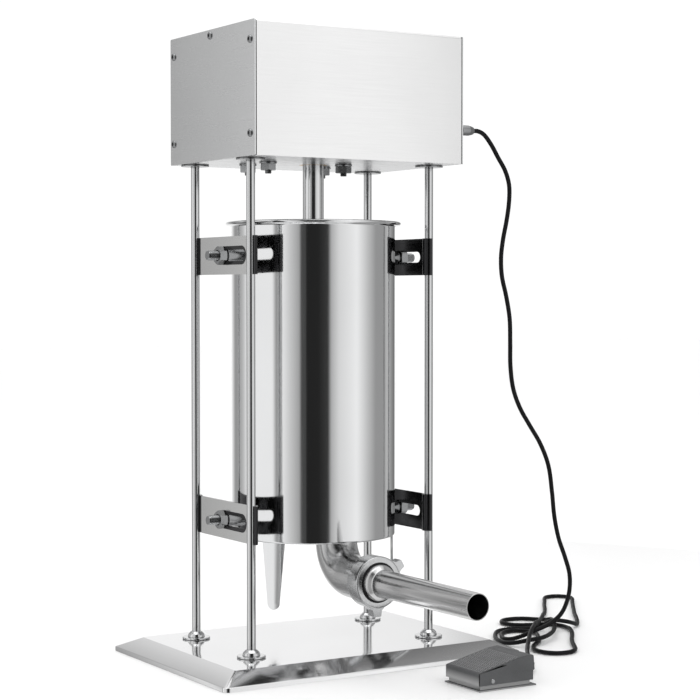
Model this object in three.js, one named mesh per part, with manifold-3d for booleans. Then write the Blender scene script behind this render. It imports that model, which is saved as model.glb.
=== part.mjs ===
// Vertical electric sausage stuffer: a barrel held between four posts, a piston on a round rack,
// a geared motor in a sheet metal housing, and a foot pedal on its cord.
// Millimetres, +Z up, the nozzle points to -Y. The origin is on the floor under the barrel's axis.

import * as THREE from 'three';
import { mergeVertices } from 'three/addons/utils/BufferGeometryUtils.js';
import Module from 'manifold-3d';

const wasm = await Module();
wasm.setup();

// ---------------------------------------------------------------- driving dimensions

const GAP = 0.3;
const SHEET = 1.5;

const base = {
  halfX: 204, halfY: 147, centreY: -6, lip: 5.5, height: 18, bevel: 27, corner: 7, plate: 1.5,
};

const post = {
  x: 124.5, frontY: -68, rearY: 72, radius: 5.2, threadRadius: 4, threadLength: 11,
  washerRadius: 17, washerThick: 2, domeRadius: 10.5, domeHeight: 7,
};

const housing = {
  halfX: 143.8, frontY: -113, rearY: 99.5, bottomZ: 597.5, topZ: 751, floorThick: 3, flange: 8,
};

const barrel = {
  radius: 100, wall: 1.5, bottomZ: 146, floorThick: 2, topZ: 528, rimRadius: 107.5, rimBead: 1.6,
  upperStudZ: 486, lowerStudZ: 172, bossRadius: 9, bossEnd: 121.4, threadRadius: 6, threadEnd: 146,
};

const leg = { width: 30, footWidth: 16, thick: 2, lowestZ: 67, angles: [90, 210, 330] };

const bracket = {
  innerX: 122, thick: 2.5, height: 45, slotHalf: 6.6, recessHalf: 11, recessDepth: 0.9,
  slotFrontY: -46, slotRearY: 1.5, saddleOuter: 8,
};

const clampNut = { acrossFlats: 19, length: 9 };

const outlet = {
  y: -54, axisZ: 105.5, radius: 25, bore: 23, bend: 40, ferruleRadius: 27, ferruleLength: 15, endY: -141,
};

const unionNut = {
  frontY: -149, rearY: -127, radius: 30.5, opening: 23.2, wall: 2.8, lugReach: 41, lugAngles: [30, 150, 270],
};

const nozzle = { flangeRadius: 27, neckRadius: 22.8, rootRadius: 15.8, tipRadius: 15, wall: 1, tipY: -344.5 };

const piston = {
  radius: 94.5, sealRadius: 98.2, bottomZ: 149, thick: 20, grooveRadius: 89, valveX: -48, valveY: 30,
  grooveLow: 5, grooveHigh: 14,
};

const rod = {
  radius: 13, bottomZ: 169.3, topZ: 750, rackTopY: 12.8, spigotRadius: 8, spigotLength: 12,
};

const gear = {
  module: 2.5, teeth: 18, width: 16, axisZ: 647, shaftRadius: 7, bearingRadius: 12, backlash: 0.5,
  pressureAngle: Math.PI / 9,
};
gear.pitchRadius = gear.module * gear.teeth / 2;
gear.axisY = rod.rackTopY - gear.module + gear.pitchRadius;
gear.pitch = Math.PI * gear.module;

const pistonTravel = 385;

const mountBolts = { xs: [-77, 28], ys: [-25, 25], shank: 4, nutFlats: 17, headFlats: 13 };

const gland = { y: -97, z: 640, length: 26, radius: 6, flangeRadius: 8.2, tipRadius: 4.6 };

const pedal = {
  toeX: 38, heelX: 114, frontY: -296, rearY: -230, toeZ: 20.5, heelZ: 35, kneeX: 98,
  skirtZ: 6.5, wall: 2, pinX: 55.8, pinZ: 10.5, pinRadius: 2.8, cordY: -252, cordZ: 11,
};

// The pedal's cord: it drops from the gland, lies in loose flat loops, and runs to the pedal's heel.
const cordRadius = 2.75;

const cordDrop = [
  [170.2, -97, 640], [177, -97, 640], [186, -97, 636.5], [197, -97, 625], [208, -97, 609], [219, -97, 593],
  [225, -97, 576], [225.2, -97, 556], [221.5, -97, 532], [216, -97, 508], [213, -97, 485],
  [214.5, -97, 462], [221, -97, 438], [226.5, -97, 410], [227.5, -97, 380], [228, -97, 350],
  [232.5, -97, 322], [243, -97, 298], [258, -97, 276], [275, -97, 252], [288, -97, 224],
  [294, -97, 190], [298, -97, 158], [305, -97, 130], [315, -97, 106], [322.5, -97, 84],
  [323, -97, 64], [316, -99, 46], [307, -99, 33],
];

const cordLoops = [
  [294, -97, 23.5], [279, -96, 18], [263, -95, 14], [250, -91, 9], [242, -81, 5], [242, -66, 3.1],
  [250, -51, 3.1], [261, -36, 3.1], [275, -28, 3.1], [291, -31, 3.1], [300, -43, 3.1],
  [298, -60, 3.1], [288, -77, 3.1], [276, -95, 3.1], [261, -110, 3.1], [244, -125, 3.1],
  [232, -142, 3.1], [229, -156, 3.1], [232, -168, 3.1], [240, -177, 3.1], [253, -180, 3.1],
  [266, -176, 3.1], [277, -166, 3.1], [288, -150, 3.1], [300, -132, 3.1], [315, -112, 3.1],
  [330, -94, 3.1], [346, -73, 3.1], [358, -52, 3.1], [361, -30, 3.1], [352, -14, 3.1],
  [334, -8, 3.1], [318, -1, 3.1], [308, 11, 3.1], [308, 27, 3.1], [320, 40, 3.1],
  [337, 42, 3.1], [351, 36, 3.1], [362, 23, 3.1], [365, 7, 4.5], [360, -12, 8.8],
  [349, -32, 9], [334, -53, 9], [318, -72, 9], [300, -90, 9], [280, -105, 9],
  [261, -114, 9], [243, -115, 8.8], [230, -106, 5.5], [226, -90, 3.1], [229, -72, 3.1],
  [237, -55, 3.1], [250, -37, 3.1], [263, -23, 3.1], [279, -16, 3.1], [296, -18, 3.1],
  [310, -28, 3.5], [321, -40, 8], [335, -48, 14.7], [350, -50, 13], [366, -47, 9],
  [383, -37, 4], [397, -21, 3.1], [415, 3, 3.1], [435, 32, 3.1], [456, 60, 3.1],
  [477, 88, 3.1], [497, 114, 3.1], [508, 128, 3.1], [513, 141, 3.1], [509, 154, 3.1],
  [498, 161, 3.1], [485, 159, 3.1], [474, 149, 3.1], [462, 133, 3.1], [442, 108, 3.1],
  [422, 81, 3.1], [401, 55, 3.4], [382, 32, 7.5], [364, 11, 10.5], [345, -11, 12],
  [325, -33, 14], [306, -55, 17.5], [287, -74, 20.5], [268, -94, 21], [248, -113, 17],
];

const cordLead = [
  [248, -113, 17], [229, -134, 11.5], [212, -154, 8], [184, -193, 6], [169, -216, 7],
  [159, -233, 9], [147, -246, 10.7], [135, -252, 11], [128.3, -252, 11],
];

// ---------------------------------------------------------------- materials

function material(color, metalness, roughness) {
  return new THREE.MeshStandardMaterial({ color, metalness, roughness });
}

const polished = material(0xd9dadb, 1, 0.08);
const satinSteel = material(0xe6e6e4, 1, 0.32);
const plainSteel = material(0xb9babb, 1, 0.3);
const darkSteel = material(0x77797c, 1, 0.4);
const bronze = material(0xb5975a, 1, 0.35);
const castGrey = material(0x8c9093, 0.6, 0.55);
const pedalPaint = material(0x55585b, 0.2, 0.55);
const blackPlastic = material(0x161718, 0, 0.5);
const whiteRubber = material(0xe8e6df, 0, 0.7);
const boardGreen = material(0x1f5a38, 0, 0.5);

// ---------------------------------------------------------------- solids

// A closed geometry becomes a solid whose faces point outwards.
function toSolid(geometry) {
  const bare = geometry.clone();
  for (const extra of ['normal', 'uv']) {
    if (bare.getAttribute(extra)) bare.deleteAttribute(extra);
  }
  const merged = mergeVertices(bare, 1e-4);
  const vertProperties = new Float32Array(merged.attributes.position.array);
  const triVerts = dropSlivers(merged.index.array);
  if (signedVolume(vertProperties, triVerts) < 0) {
    for (let i = 0; i < triVerts.length; i += 3) {
      [triVerts[i], triVerts[i + 1]] = [triVerts[i + 1], triVerts[i]];
    }
  }
  return new wasm.Manifold(new wasm.Mesh({ numProp: 3, vertProperties, triVerts }));
}

// Triangles whose corners were merged into one point, as at a lathe's axis, are left out.
function dropSlivers(index) {
  const kept = [];
  for (let i = 0; i < index.length; i += 3) {
    const [a, b, c] = [index[i], index[i + 1], index[i + 2]];
    if (a !== b && b !== c && c !== a) kept.push(a, b, c);
  }
  return new Uint32Array(kept);
}

function signedVolume(points, triangles) {
  const corner = (i) => new THREE.Vector3().fromArray(points, 3 * i);
  let total = 0;
  for (let i = 0; i < triangles.length; i += 3) {
    const [a, b, c] = [corner(triangles[i]), corner(triangles[i + 1]), corner(triangles[i + 2])];
    total += a.dot(b.cross(c)) / 6;
  }
  return total;
}

function toGeometry(solid) {
  const mesh = solid.getMesh();
  const geometry = new THREE.BufferGeometry();
  geometry.setAttribute('position', new THREE.BufferAttribute(mesh.vertProperties, mesh.numProp));
  geometry.setIndex(new THREE.BufferAttribute(mesh.triVerts, 1));
  return geometry;
}

function joined(...solids) {
  return solids.reduce((whole, next) => whole.add(next));
}

function cut(whole, ...tools) {
  return tools.reduce((rest, tool) => rest.subtract(tool), whole);
}

function block(x0, x1, y0, y1, z0, z1) {
  const geometry = new THREE.BoxGeometry(x1 - x0, y1 - y0, z1 - z0);
  return toSolid(geometry.translate((x0 + x1) / 2, (y0 + y1) / 2, (z0 + z1) / 2));
}

// A cylinder from one end of a line to the other.
function bar(from, to, radius, sides = 24) {
  const start = new THREE.Vector3(...from);
  const end = new THREE.Vector3(...to);
  const along = end.clone().sub(start);
  const geometry = new THREE.CylinderGeometry(radius, radius, along.length(), sides);
  const yAxis = new THREE.Vector3(0, 1, 0);
  geometry.applyQuaternion(new THREE.Quaternion().setFromUnitVectors(yAxis, along.clone().normalize()));
  return toSolid(geometry.translate(...start.add(end).multiplyScalar(0.5)));
}

// A turned piece: the profile's points are [radius, height], and the axis is Z.
function turned(profile, sides = 48) {
  const points = profile.map(([radius, height]) => new THREE.Vector2(radius, height));
  return toSolid(new THREE.LatheGeometry(points, sides).rotateX(Math.PI / 2));
}

// The same, with Y along the outlet's axis, as the nozzle and its nut are turned.
function turnedForward(profile, sides) {
  const points = profile.map(([radius, y]) => new THREE.Vector2(radius, y));
  return toSolid(new THREE.LatheGeometry(points, sides).translate(0, 0, outlet.axisZ));
}

// The same, with the height along X.
function turnedSideways(profile, sides, y, z) {
  const points = profile.map(([radius, x]) => new THREE.Vector2(radius, -x));
  return toSolid(new THREE.LatheGeometry(points, sides).rotateZ(Math.PI / 2).translate(0, y, z));
}

function ringProfile(inner, outer, low, high) {
  return [[inner, low], [outer, low], [outer, high], [inner, high], [inner, low]];
}

// A shape drawn on two axes, and pushed along the third one, square to both.
function pushed(shape, depth, across, up, origin, curveSegments = 8) {
  const u = new THREE.Vector3(...across);
  const v = new THREE.Vector3(...up);
  const place = new THREE.Matrix4().makeBasis(u, v, u.clone().cross(v)).setPosition(...origin);
  const geometry = new THREE.ExtrudeGeometry(shape, { depth, bevelEnabled: false, curveSegments });
  return toSolid(geometry.applyMatrix4(place));
}

const X = [1, 0, 0];
const Y = [0, 1, 0];
const Z = [0, 0, 1];

// A round cord along a stretch of its route.
function cordTube(route, stepLength = 14) {
  const points = route.map((point) => new THREE.Vector3(...point));
  const curve = new THREE.CatmullRomCurve3(points, false, 'centripetal');
  const section = new THREE.Shape().absarc(0, 0, cordRadius, 0, 2 * Math.PI, false);
  const steps = Math.round(curve.getLength() / stepLength);
  return toSolid(new THREE.ExtrudeGeometry(section, { steps, extrudePath: curve, curveSegments: 8 }));
}

// The outer shape of the loops: the tightest wrapping round a ball at each point of the route.
function wrapping(route, radius) {
  const ball = new THREE.IcosahedronGeometry(radius).getAttribute('position');
  const points = [];
  for (const [x, y, z] of route) {
    for (let i = 0; i < ball.count; i += 1) {
      points.push([x + ball.getX(i), y + ball.getY(i), z + ball.getZ(i)]);
    }
  }
  return wasm.Manifold.hull(points);
}

function hexNut(acrossFlats, length) {
  return new THREE.CylinderGeometry(acrossFlats / Math.sqrt(3), acrossFlats / Math.sqrt(3), length, 6);
}

function roundedLoop(halfX, halfY, corner, z, centreY) {
  const steps = 4;
  const loop = [];
  const corners = [[1, 1, 0], [-1, 1, 90], [-1, -1, 180], [1, -1, 270]];
  for (const [sx, sy, start] of corners) {
    for (let i = 0; i <= steps; i += 1) {
      const angle = THREE.MathUtils.degToRad(start + 90 * i / steps);
      const x = sx * (halfX - corner) + corner * Math.cos(angle);
      const y = sy * (halfY - corner) + corner * Math.sin(angle) + centreY;
      loop.push([x, y, z]);
    }
  }
  return loop;
}

// A solid through a stack of loops with equal numbers of points.
function lofted(loops) {
  const count = loops[0].length;
  const points = loops.flat(2);
  const index = [];
  for (let level = 0; level + 1 < loops.length; level += 1) {
    for (let i = 0; i < count; i += 1) {
      const a = level * count + i;
      const b = level * count + (i + 1) % count;
      index.push(a, b, b + count, a, b + count, a + count);
    }
  }
  const top = (loops.length - 1) * count;
  for (let i = 1; i + 1 < count; i += 1) {
    index.push(0, i + 1, i, top, top + i, top + i + 1);
  }
  const geometry = new THREE.BufferGeometry();
  geometry.setAttribute('position', new THREE.Float32BufferAttribute(points, 3));
  geometry.setIndex(index);
  return toSolid(geometry);
}

const machine = new THREE.Group();

function addPart(name, solid, finish) {
  const mesh = new THREE.Mesh(toGeometry(solid), finish);
  mesh.name = name;
  machine.add(mesh);
}

// ---------------------------------------------------------------- base and posts

const corners = [
  ['front_left', -1, post.frontY], ['front_right', 1, post.frontY],
  ['rear_left', -1, post.rearY], ['rear_right', 1, post.rearY],
];

function postHole(side, y, z) {
  return bar([side * post.x, y, z - 5], [side * post.x, y, z + 30], post.threadRadius + GAP, 16);
}

function trayForm(inset, lowZ) {
  const { halfX, halfY, centreY, lip, height, bevel, corner } = base;
  const loop = (shrink, z) => roundedLoop(
    halfX - inset - shrink, halfY - inset - shrink, corner - inset, z, centreY);
  return lofted([loop(0, lowZ), loop(0, lip - inset * 0.4), loop(bevel, height - inset)]);
}

function buildBase() {
  const holes = corners.map(([, side, y]) => postHole(side, y, 0));
  const tray = cut(trayForm(0, 0), trayForm(SHEET, -5), ...holes);
  addPart('base_tray', tray, polished);
  const inset = SHEET + GAP;
  const loop = (z) => roundedLoop(
    base.halfX - inset, base.halfY - inset, base.corner - inset, z, base.centreY);
  addPart('base_bottom_plate', lofted([loop(0), loop(base.plate)]), plainSteel);
}

function buildPosts() {
  const low = base.height + GAP;
  const high = housing.bottomZ - GAP;
  const rodProfile = [
    [0, low - post.threadLength], [post.threadRadius, low - post.threadLength], [post.threadRadius, low],
    [post.radius, low], [post.radius, high],
    [post.threadRadius, high], [post.threadRadius, high + post.threadLength], [0, high + post.threadLength],
  ];
  const inner = post.radius + GAP;
  const washerTop = low + post.washerThick;
  const flangeProfile = [
    [inner, low], [post.washerRadius, low], [post.washerRadius, washerTop],
    [post.domeRadius, washerTop], [post.domeRadius - 0.8, washerTop + 3],
    [post.domeRadius - 2.4, washerTop + 5.5], [6.6, washerTop + post.domeHeight],
    [inner, washerTop + post.domeHeight],
    [inner, low],
  ];
  const topWasher = ringProfile(inner, post.washerRadius, high - post.washerThick, high);
  for (const [place, side, y] of corners) {
    const at = [side * post.x, y, 0];
    addPart(`post_${place}`, turned(rodProfile, 16).translate(at), polished);
    addPart(`foot_flange_${place}`, turned(flangeProfile, 16).translate(at), polished);
    addPart(`top_washer_${place}`, turned(topWasher, 16).translate(at), plainSteel);
  }
}

// ---------------------------------------------------------------- barrel

function barrelShell() {
  const { radius, wall, bottomZ, floorThick, topZ, rimRadius, rimBead } = barrel;
  const inner = radius - wall;
  return turned([
    [0, bottomZ], [radius - 4, bottomZ], [radius - 1.2, bottomZ + 1.2], [radius, bottomZ + 4],
    [radius, topZ - 5], [radius + 1.2, topZ - 2.2], [rimRadius - rimBead, topZ - 2 * rimBead],
    [rimRadius, topZ - rimBead], [rimRadius - rimBead, topZ],
    [radius + 1, topZ], [inner + 0.6, topZ - 1.2], [inner, topZ - 5],
    [inner, bottomZ + floorThick + 2], [inner - 2, bottomZ + floorThick], [0, bottomZ + floorThick],
  ], 48);
}

// A strap leg follows the barrel's round wall, narrows downwards and ends in a half circle.
function barrelLeg(angle) {
  const { width, footWidth, thick, lowestZ } = leg;
  const outerRadius = barrel.radius - 2.2;
  const topZ = barrel.bottomZ + 1;
  const shape = new THREE.Shape();
  shape.moveTo(-width / 2, topZ);
  shape.lineTo(-footWidth / 2, lowestZ + footWidth / 2);
  shape.absarc(0, lowestZ + footWidth / 2, footWidth / 2, Math.PI, 2 * Math.PI, false);
  shape.lineTo(width / 2, topZ);
  const tongue = pushed(shape, 20, X, Z, [0, -outerRadius + 12, 0], 8);
  const ring = turned(ringProfile(outerRadius - thick, outerRadius, lowestZ - 5, topZ + 5), 72);
  return ring.intersect(tongue).rotate([0, 0, angle + 90]);
}

function barrelStud(side, z) {
  const boss = bar([side * (barrel.radius - 1), 0, z], [side * barrel.bossEnd, 0, z], barrel.bossRadius, 24);
  const thread = bar([side * barrel.radius, 0, z], [side * barrel.threadEnd, 0, z], barrel.threadRadius, 16);
  return joined(boss, thread);
}

function buildBarrel() {
  const { upperStudZ, lowerStudZ, radius, wall, bottomZ, topZ } = barrel;
  const outletHole = bar([0, outlet.y, bottomZ - 5], [0, outlet.y, bottomZ + 10], outlet.bore, 32);
  const studs = [-1, 1].flatMap((side) => [barrelStud(side, upperStudZ), barrelStud(side, lowerStudZ)]);
  const legs = leg.angles.map(barrelLeg);
  const inside = bar([0, 0, bottomZ + 20], [0, 0, topZ], radius - wall - 0.2, 64);
  const whole = joined(barrelShell(), ...legs, cut(joined(...studs), inside));
  addPart('barrel', cut(whole, outletHole), polished);
}

// The outlet's pipe: down from the barrel, round a quarter turn, and forwards. A section is a loop
// of points tilted by the angle that the pipe has turned through.
function elbowBar(radius) {
  const bendSteps = 6;
  const sides = 24;
  const bendStartZ = outlet.axisZ + outlet.bend;
  const bendEndY = outlet.y - outlet.bend;
  const section = (y, z, tilt) => {
    const loop = [];
    for (let k = 0; k < sides; k += 1) {
      const angle = 2 * Math.PI * k / sides;
      const across = radius * Math.sin(angle);
      loop.push([radius * Math.cos(angle), y + across * Math.cos(tilt), z - across * Math.sin(tilt)]);
    }
    return loop;
  };
  const loops = [section(outlet.y, barrel.bottomZ - GAP, 0)];
  for (let i = 0; i <= bendSteps; i += 1) {
    const tilt = Math.PI / 2 * i / bendSteps;
    loops.push(section(
      bendEndY + outlet.bend * Math.cos(tilt), bendStartZ - outlet.bend * Math.sin(tilt), tilt));
  }
  const run = bar([0, bendEndY, outlet.axisZ], [0, outlet.endY, outlet.axisZ], radius, sides);
  return joined(run, lofted(loops));
}

function buildElbow() {
  const { endY, axisZ, ferruleLength, ferruleRadius, radius, bore } = outlet;
  const ferrule = bar([0, endY + ferruleLength, axisZ], [0, endY, axisZ], ferruleRadius, 32);
  const mouth = bar([0, endY + 1, axisZ], [0, endY - 1, axisZ], bore, 24);
  addPart('outlet_elbow', cut(joined(elbowBar(radius), ferrule), elbowBar(bore), mouth), polished);
}

// ---------------------------------------------------------------- brackets and clamp nuts

function obround(halfHeight, frontY, rearY) {
  const shape = new THREE.Shape();
  shape.absarc(frontY, 0, halfHeight, Math.PI / 2, 3 * Math.PI / 2, false);
  shape.absarc(rearY, 0, halfHeight, -Math.PI / 2, Math.PI / 2, false);
  return shape;
}

// The shape is drawn in Y and Z, and pushed along X.
function obroundBar(halfHeight, x0, x1, z) {
  const shape = obround(halfHeight, bracket.slotFrontY, bracket.slotRearY);
  return pushed(shape, x1 - x0, Y, Z, [x0, 0, z]);
}

function bracketPlate(side, z) {
  const half = bracket.height / 2;
  const inner = side * bracket.innerX;
  const outer = side * (bracket.innerX + bracket.thick);
  const [x0, x1] = [Math.min(inner, outer), Math.max(inner, outer)];
  const clear = post.radius + 1;
  const plate = block(x0, x1, post.frontY + clear, post.rearY - clear, z - half, z + half);
  const saddles = [post.frontY, post.rearY].map((y) => {
    const ring = turned(ringProfile(post.radius + GAP, bracket.saddleOuter, z - half, z + half), 24);
    const outerHalf = block(0, 20, -20, 20, z - half - 1, z + half + 1);
    const facing = side > 0 ? outerHalf : outerHalf.mirror([1, 0, 0]);
    return cut(ring, facing).translate([side * post.x, y, 0]);
  });
  const recessFloor = outer - side * bracket.recessDepth;
  const [recess0, recess1] = [Math.min(outer, recessFloor), Math.max(outer, recessFloor)];
  const recess = obroundBar(bracket.recessHalf, recess0, recess1, z);
  const slot = obroundBar(bracket.slotHalf, x0 - 5, x1 + 5, z);
  return cut(joined(plate, ...saddles), recess, slot);
}

function buildBrackets() {
  for (const [level, z] of [['upper', barrel.upperStudZ], ['lower', barrel.lowerStudZ]]) {
    for (const [place, side] of [['left', -1], ['right', 1]]) {
      addPart(`bracket_${level}_${place}`, bracketPlate(side, z), satinSteel);
      const seat = bracket.innerX + bracket.thick - bracket.recessDepth + GAP;
      const body = toSolid(hexNut(clampNut.acrossFlats, clampNut.length)
        .rotateZ(Math.PI / 2).translate(side * (seat + clampNut.length / 2), 0, z));
      const bore = bar([side * 100, 0, z], [side * 160, 0, z], barrel.threadRadius + GAP, 16);
      addPart(`clamp_nut_${level}_${place}`, cut(body, bore), plainSteel);
    }
  }
}

// ---------------------------------------------------------------- nozzle and union nut

function buildNozzle() {
  const { frontY, rearY, radius, opening, wall, lugReach, lugAngles } = unionNut;
  const inner = outlet.ferruleRadius + 0.6;
  const ring = turnedForward([
    [inner, rearY], [radius, rearY], [radius, frontY + 2], [radius - 2, frontY], [opening, frontY],
    [opening, frontY + wall], [inner, frontY + wall], [inner, rearY],
  ], 40);
  const wing = new THREE.Shape();
  wing.moveTo(26, -13);
  wing.lineTo(lugReach - 2, -5.5);
  wing.lineTo(lugReach, 0);
  wing.lineTo(lugReach - 2, 5.5);
  wing.lineTo(26, 13);
  const hollow = turnedForward([
    [0, rearY + 5], [inner, rearY + 5], [inner, frontY + wall],
    [opening, frontY + wall], [opening, frontY - 5], [0, frontY - 5],
  ], 40);
  const wings = lugAngles.map((angle) => {
    const turn = THREE.MathUtils.degToRad(angle);
    const outward = [Math.cos(turn), 0, Math.sin(turn)];
    const around = [-Math.sin(turn), 0, Math.cos(turn)];
    return pushed(wing, 12, outward, around, [0, frontY + 15, outlet.axisZ]);
  });
  addPart('union_nut', cut(joined(ring, ...wings), hollow), plainSteel);

  const rear = outlet.endY - GAP;
  const flangeFront = frontY + wall + GAP;
  const bore = nozzle.tipRadius - nozzle.wall;
  addPart('nozzle', turnedForward([
    [bore + 5, rear], [nozzle.flangeRadius, rear], [nozzle.flangeRadius, flangeFront],
    [nozzle.neckRadius, flangeFront], [nozzle.neckRadius, frontY - 0.5],
    [nozzle.neckRadius - 1.2, frontY - 3.5], [nozzle.neckRadius - 4, frontY - 7.5],
    [nozzle.rootRadius, frontY - 10],
    [nozzle.tipRadius, nozzle.tipY], [bore, nozzle.tipY], [bore, frontY - 14], [bore + 5, rear],
  ], 32), polished);
}

// ---------------------------------------------------------------- piston, rod and rack drive

// One rack groove: a trapezoid open towards +Y, cut across the rod.
function rackGroove(z) {
  const tan = Math.tan(gear.pressureAngle);
  const pitchHalf = gear.pitch / 4 + gear.backlash / 2;
  const topHalf = pitchHalf + (gear.module + 2) * tan;
  const bottomHalf = pitchHalf - 1.25 * gear.module * tan;
  const pitchY = rod.rackTopY - gear.module;
  const shape = new THREE.Shape();
  shape.moveTo(pitchY + gear.module + 2, -topHalf);
  shape.lineTo(pitchY + gear.module + 2, topHalf);
  shape.lineTo(pitchY - 1.25 * gear.module, bottomHalf);
  shape.lineTo(pitchY - 1.25 * gear.module, -bottomHalf);
  return pushed(shape, 30, Y, Z, [-15, 0, z]);
}

function gearOutline() {
  const { module: m, teeth, pitchRadius, pressureAngle, backlash } = gear;
  const baseRadius = pitchRadius * Math.cos(pressureAngle);
  const involute = (radius) => {
    const a = Math.acos(Math.min(1, baseRadius / radius));
    return Math.tan(a) - a;
  };
  const halfAtPitch = Math.PI / 2 / teeth - backlash / 2 / pitchRadius;
  const flankRadii = [baseRadius, pitchRadius - m / 3, pitchRadius + m / 3, pitchRadius + m * 0.9];
  const rootRadius = pitchRadius - 1.2 * m;
  const outline = [];
  for (let tooth = 0; tooth < teeth; tooth += 1) {
    const centre = 2 * Math.PI * tooth / teeth;
    const half = flankRadii.map((radius) => halfAtPitch + involute(pitchRadius) - involute(radius));
    const left = flankRadii.map((radius, i) => [radius, centre - half[i]]);
    const right = flankRadii.map((radius, i) => [radius, centre + half[i]]).reverse();
    const rootHalf = half[0] * 1.1;
    outline.push([rootRadius, centre - rootHalf], ...left, ...right, [rootRadius, centre + rootHalf]);
  }
  const toPoint = ([radius, angle]) => new THREE.Vector2(radius * Math.cos(angle), radius * Math.sin(angle));
  return new THREE.Shape(outline.map(toPoint));
}

// A tooth of the pinion points at the rack along -Y, so the rack has a groove at that height.
function buildDrive() {
  const grooves = [];
  const lowest = gear.axisZ - pistonTravel - 3 * gear.pitch;
  const highest = gear.axisZ + 3 * gear.pitch;
  for (let z = gear.axisZ; z > lowest; z -= gear.pitch) grooves.push(rackGroove(z));
  for (let z = gear.axisZ + gear.pitch; z < highest; z += gear.pitch) grooves.push(rackGroove(z));
  const round = turned([[0, rod.bottomZ], [rod.radius, rod.bottomZ], [rod.radius, rod.topZ - 2],
    [rod.radius - 2, rod.topZ], [0, rod.topZ]], 16);
  const grooved = cut(round, wasm.Manifold.union(grooves));
  const spigot = bar([0, 0, rod.bottomZ - rod.spigotLength], [0, 0, rod.bottomZ + 1], rod.spigotRadius, 16);
  addPart('piston_rod', joined(grooved, spigot), polished);

  const { axisY, axisZ, width, shaftRadius } = gear;
  const pinionBore = bar([-20, axisY, axisZ], [20, axisY, axisZ], shaftRadius + GAP, 20);
  const pinion = pushed(gearOutline(), width, [0, -1, 0], [0, 0, -1], [-width / 2, axisY, axisZ]);
  addPart('drive_pinion', cut(pinion, pinionBore), darkSteel);
  const shaft = turnedSideways([[0, -18], [shaftRadius, -18], [shaftRadius, 20], [0, 20]], 20, axisY, axisZ);
  addPart('pinion_shaft', shaft, plainSteel);
}

function buildPiston() {
  const { radius, sealRadius, bottomZ, thick, grooveRadius, valveX, valveY } = piston;
  const top = bottomZ + thick;
  const grooveLow = bottomZ + piston.grooveLow;
  const grooveHigh = bottomZ + piston.grooveHigh;
  const plate = turned([
    [0, bottomZ], [radius - 3, bottomZ], [radius, bottomZ + 3], [radius, grooveLow],
    [grooveRadius, grooveLow], [grooveRadius, grooveHigh], [radius, grooveHigh],
    [radius, grooveHigh + 2], [radius - 6, top], [0, top],
  ], 40);
  const spigot = bar([0, 0, top - rod.spigotLength - GAP], [0, 0, top + 1], rod.spigotRadius + GAP, 16);
  const valveSeat = joined(
    bar([valveX, valveY, bottomZ - 1], [valveX, valveY, bottomZ + 6], 7, 20),
    bar([valveX, valveY, bottomZ], [valveX, valveY, top + 1], 3.5, 16));
  addPart('piston_plate', cut(plate, spigot, valveSeat), polished);
  const sealLow = grooveLow + 0.4;
  const sealHigh = grooveHigh - 0.4;
  addPart('piston_seal', turned([
    [grooveRadius + GAP, sealLow], [sealRadius - 1, sealLow], [sealRadius, sealLow + 1.6],
    [sealRadius - 1.4, (sealLow + sealHigh) / 2], [sealRadius, sealHigh - 1.6], [sealRadius - 1, sealHigh],
    [grooveRadius + GAP, sealHigh], [grooveRadius + GAP, sealLow],
  ], 40), whiteRubber);
  const valve = turned([
    [0, bottomZ + 0.5], [6.6, bottomZ + 0.5], [6.6, bottomZ + 2.5], [3.1, bottomZ + 4],
    [3.1, top + 2], [5, top + 2.6], [5, top + 5], [0, top + 5],
  ], 20);
  addPart('air_valve', valve.translate([valveX, valveY, 0]), plainSteel);
}

// ---------------------------------------------------------------- housing and what it holds

const guide = { inner: rod.radius + 0.25, outer: 17, flangeRadius: 21 };

function rodGuideHole(z) {
  return bar([0, 0, z - 12], [0, 0, z + 12], guide.outer + GAP, 32);
}

function boltPlaces() {
  return mountBolts.xs.flatMap((x) => mountBolts.ys.map((y) => [x, y]));
}

function boltHole(x, y, z) {
  return bar([x, y, z - 5], [x, y, z + 12], mountBolts.shank + GAP, 16);
}

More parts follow.
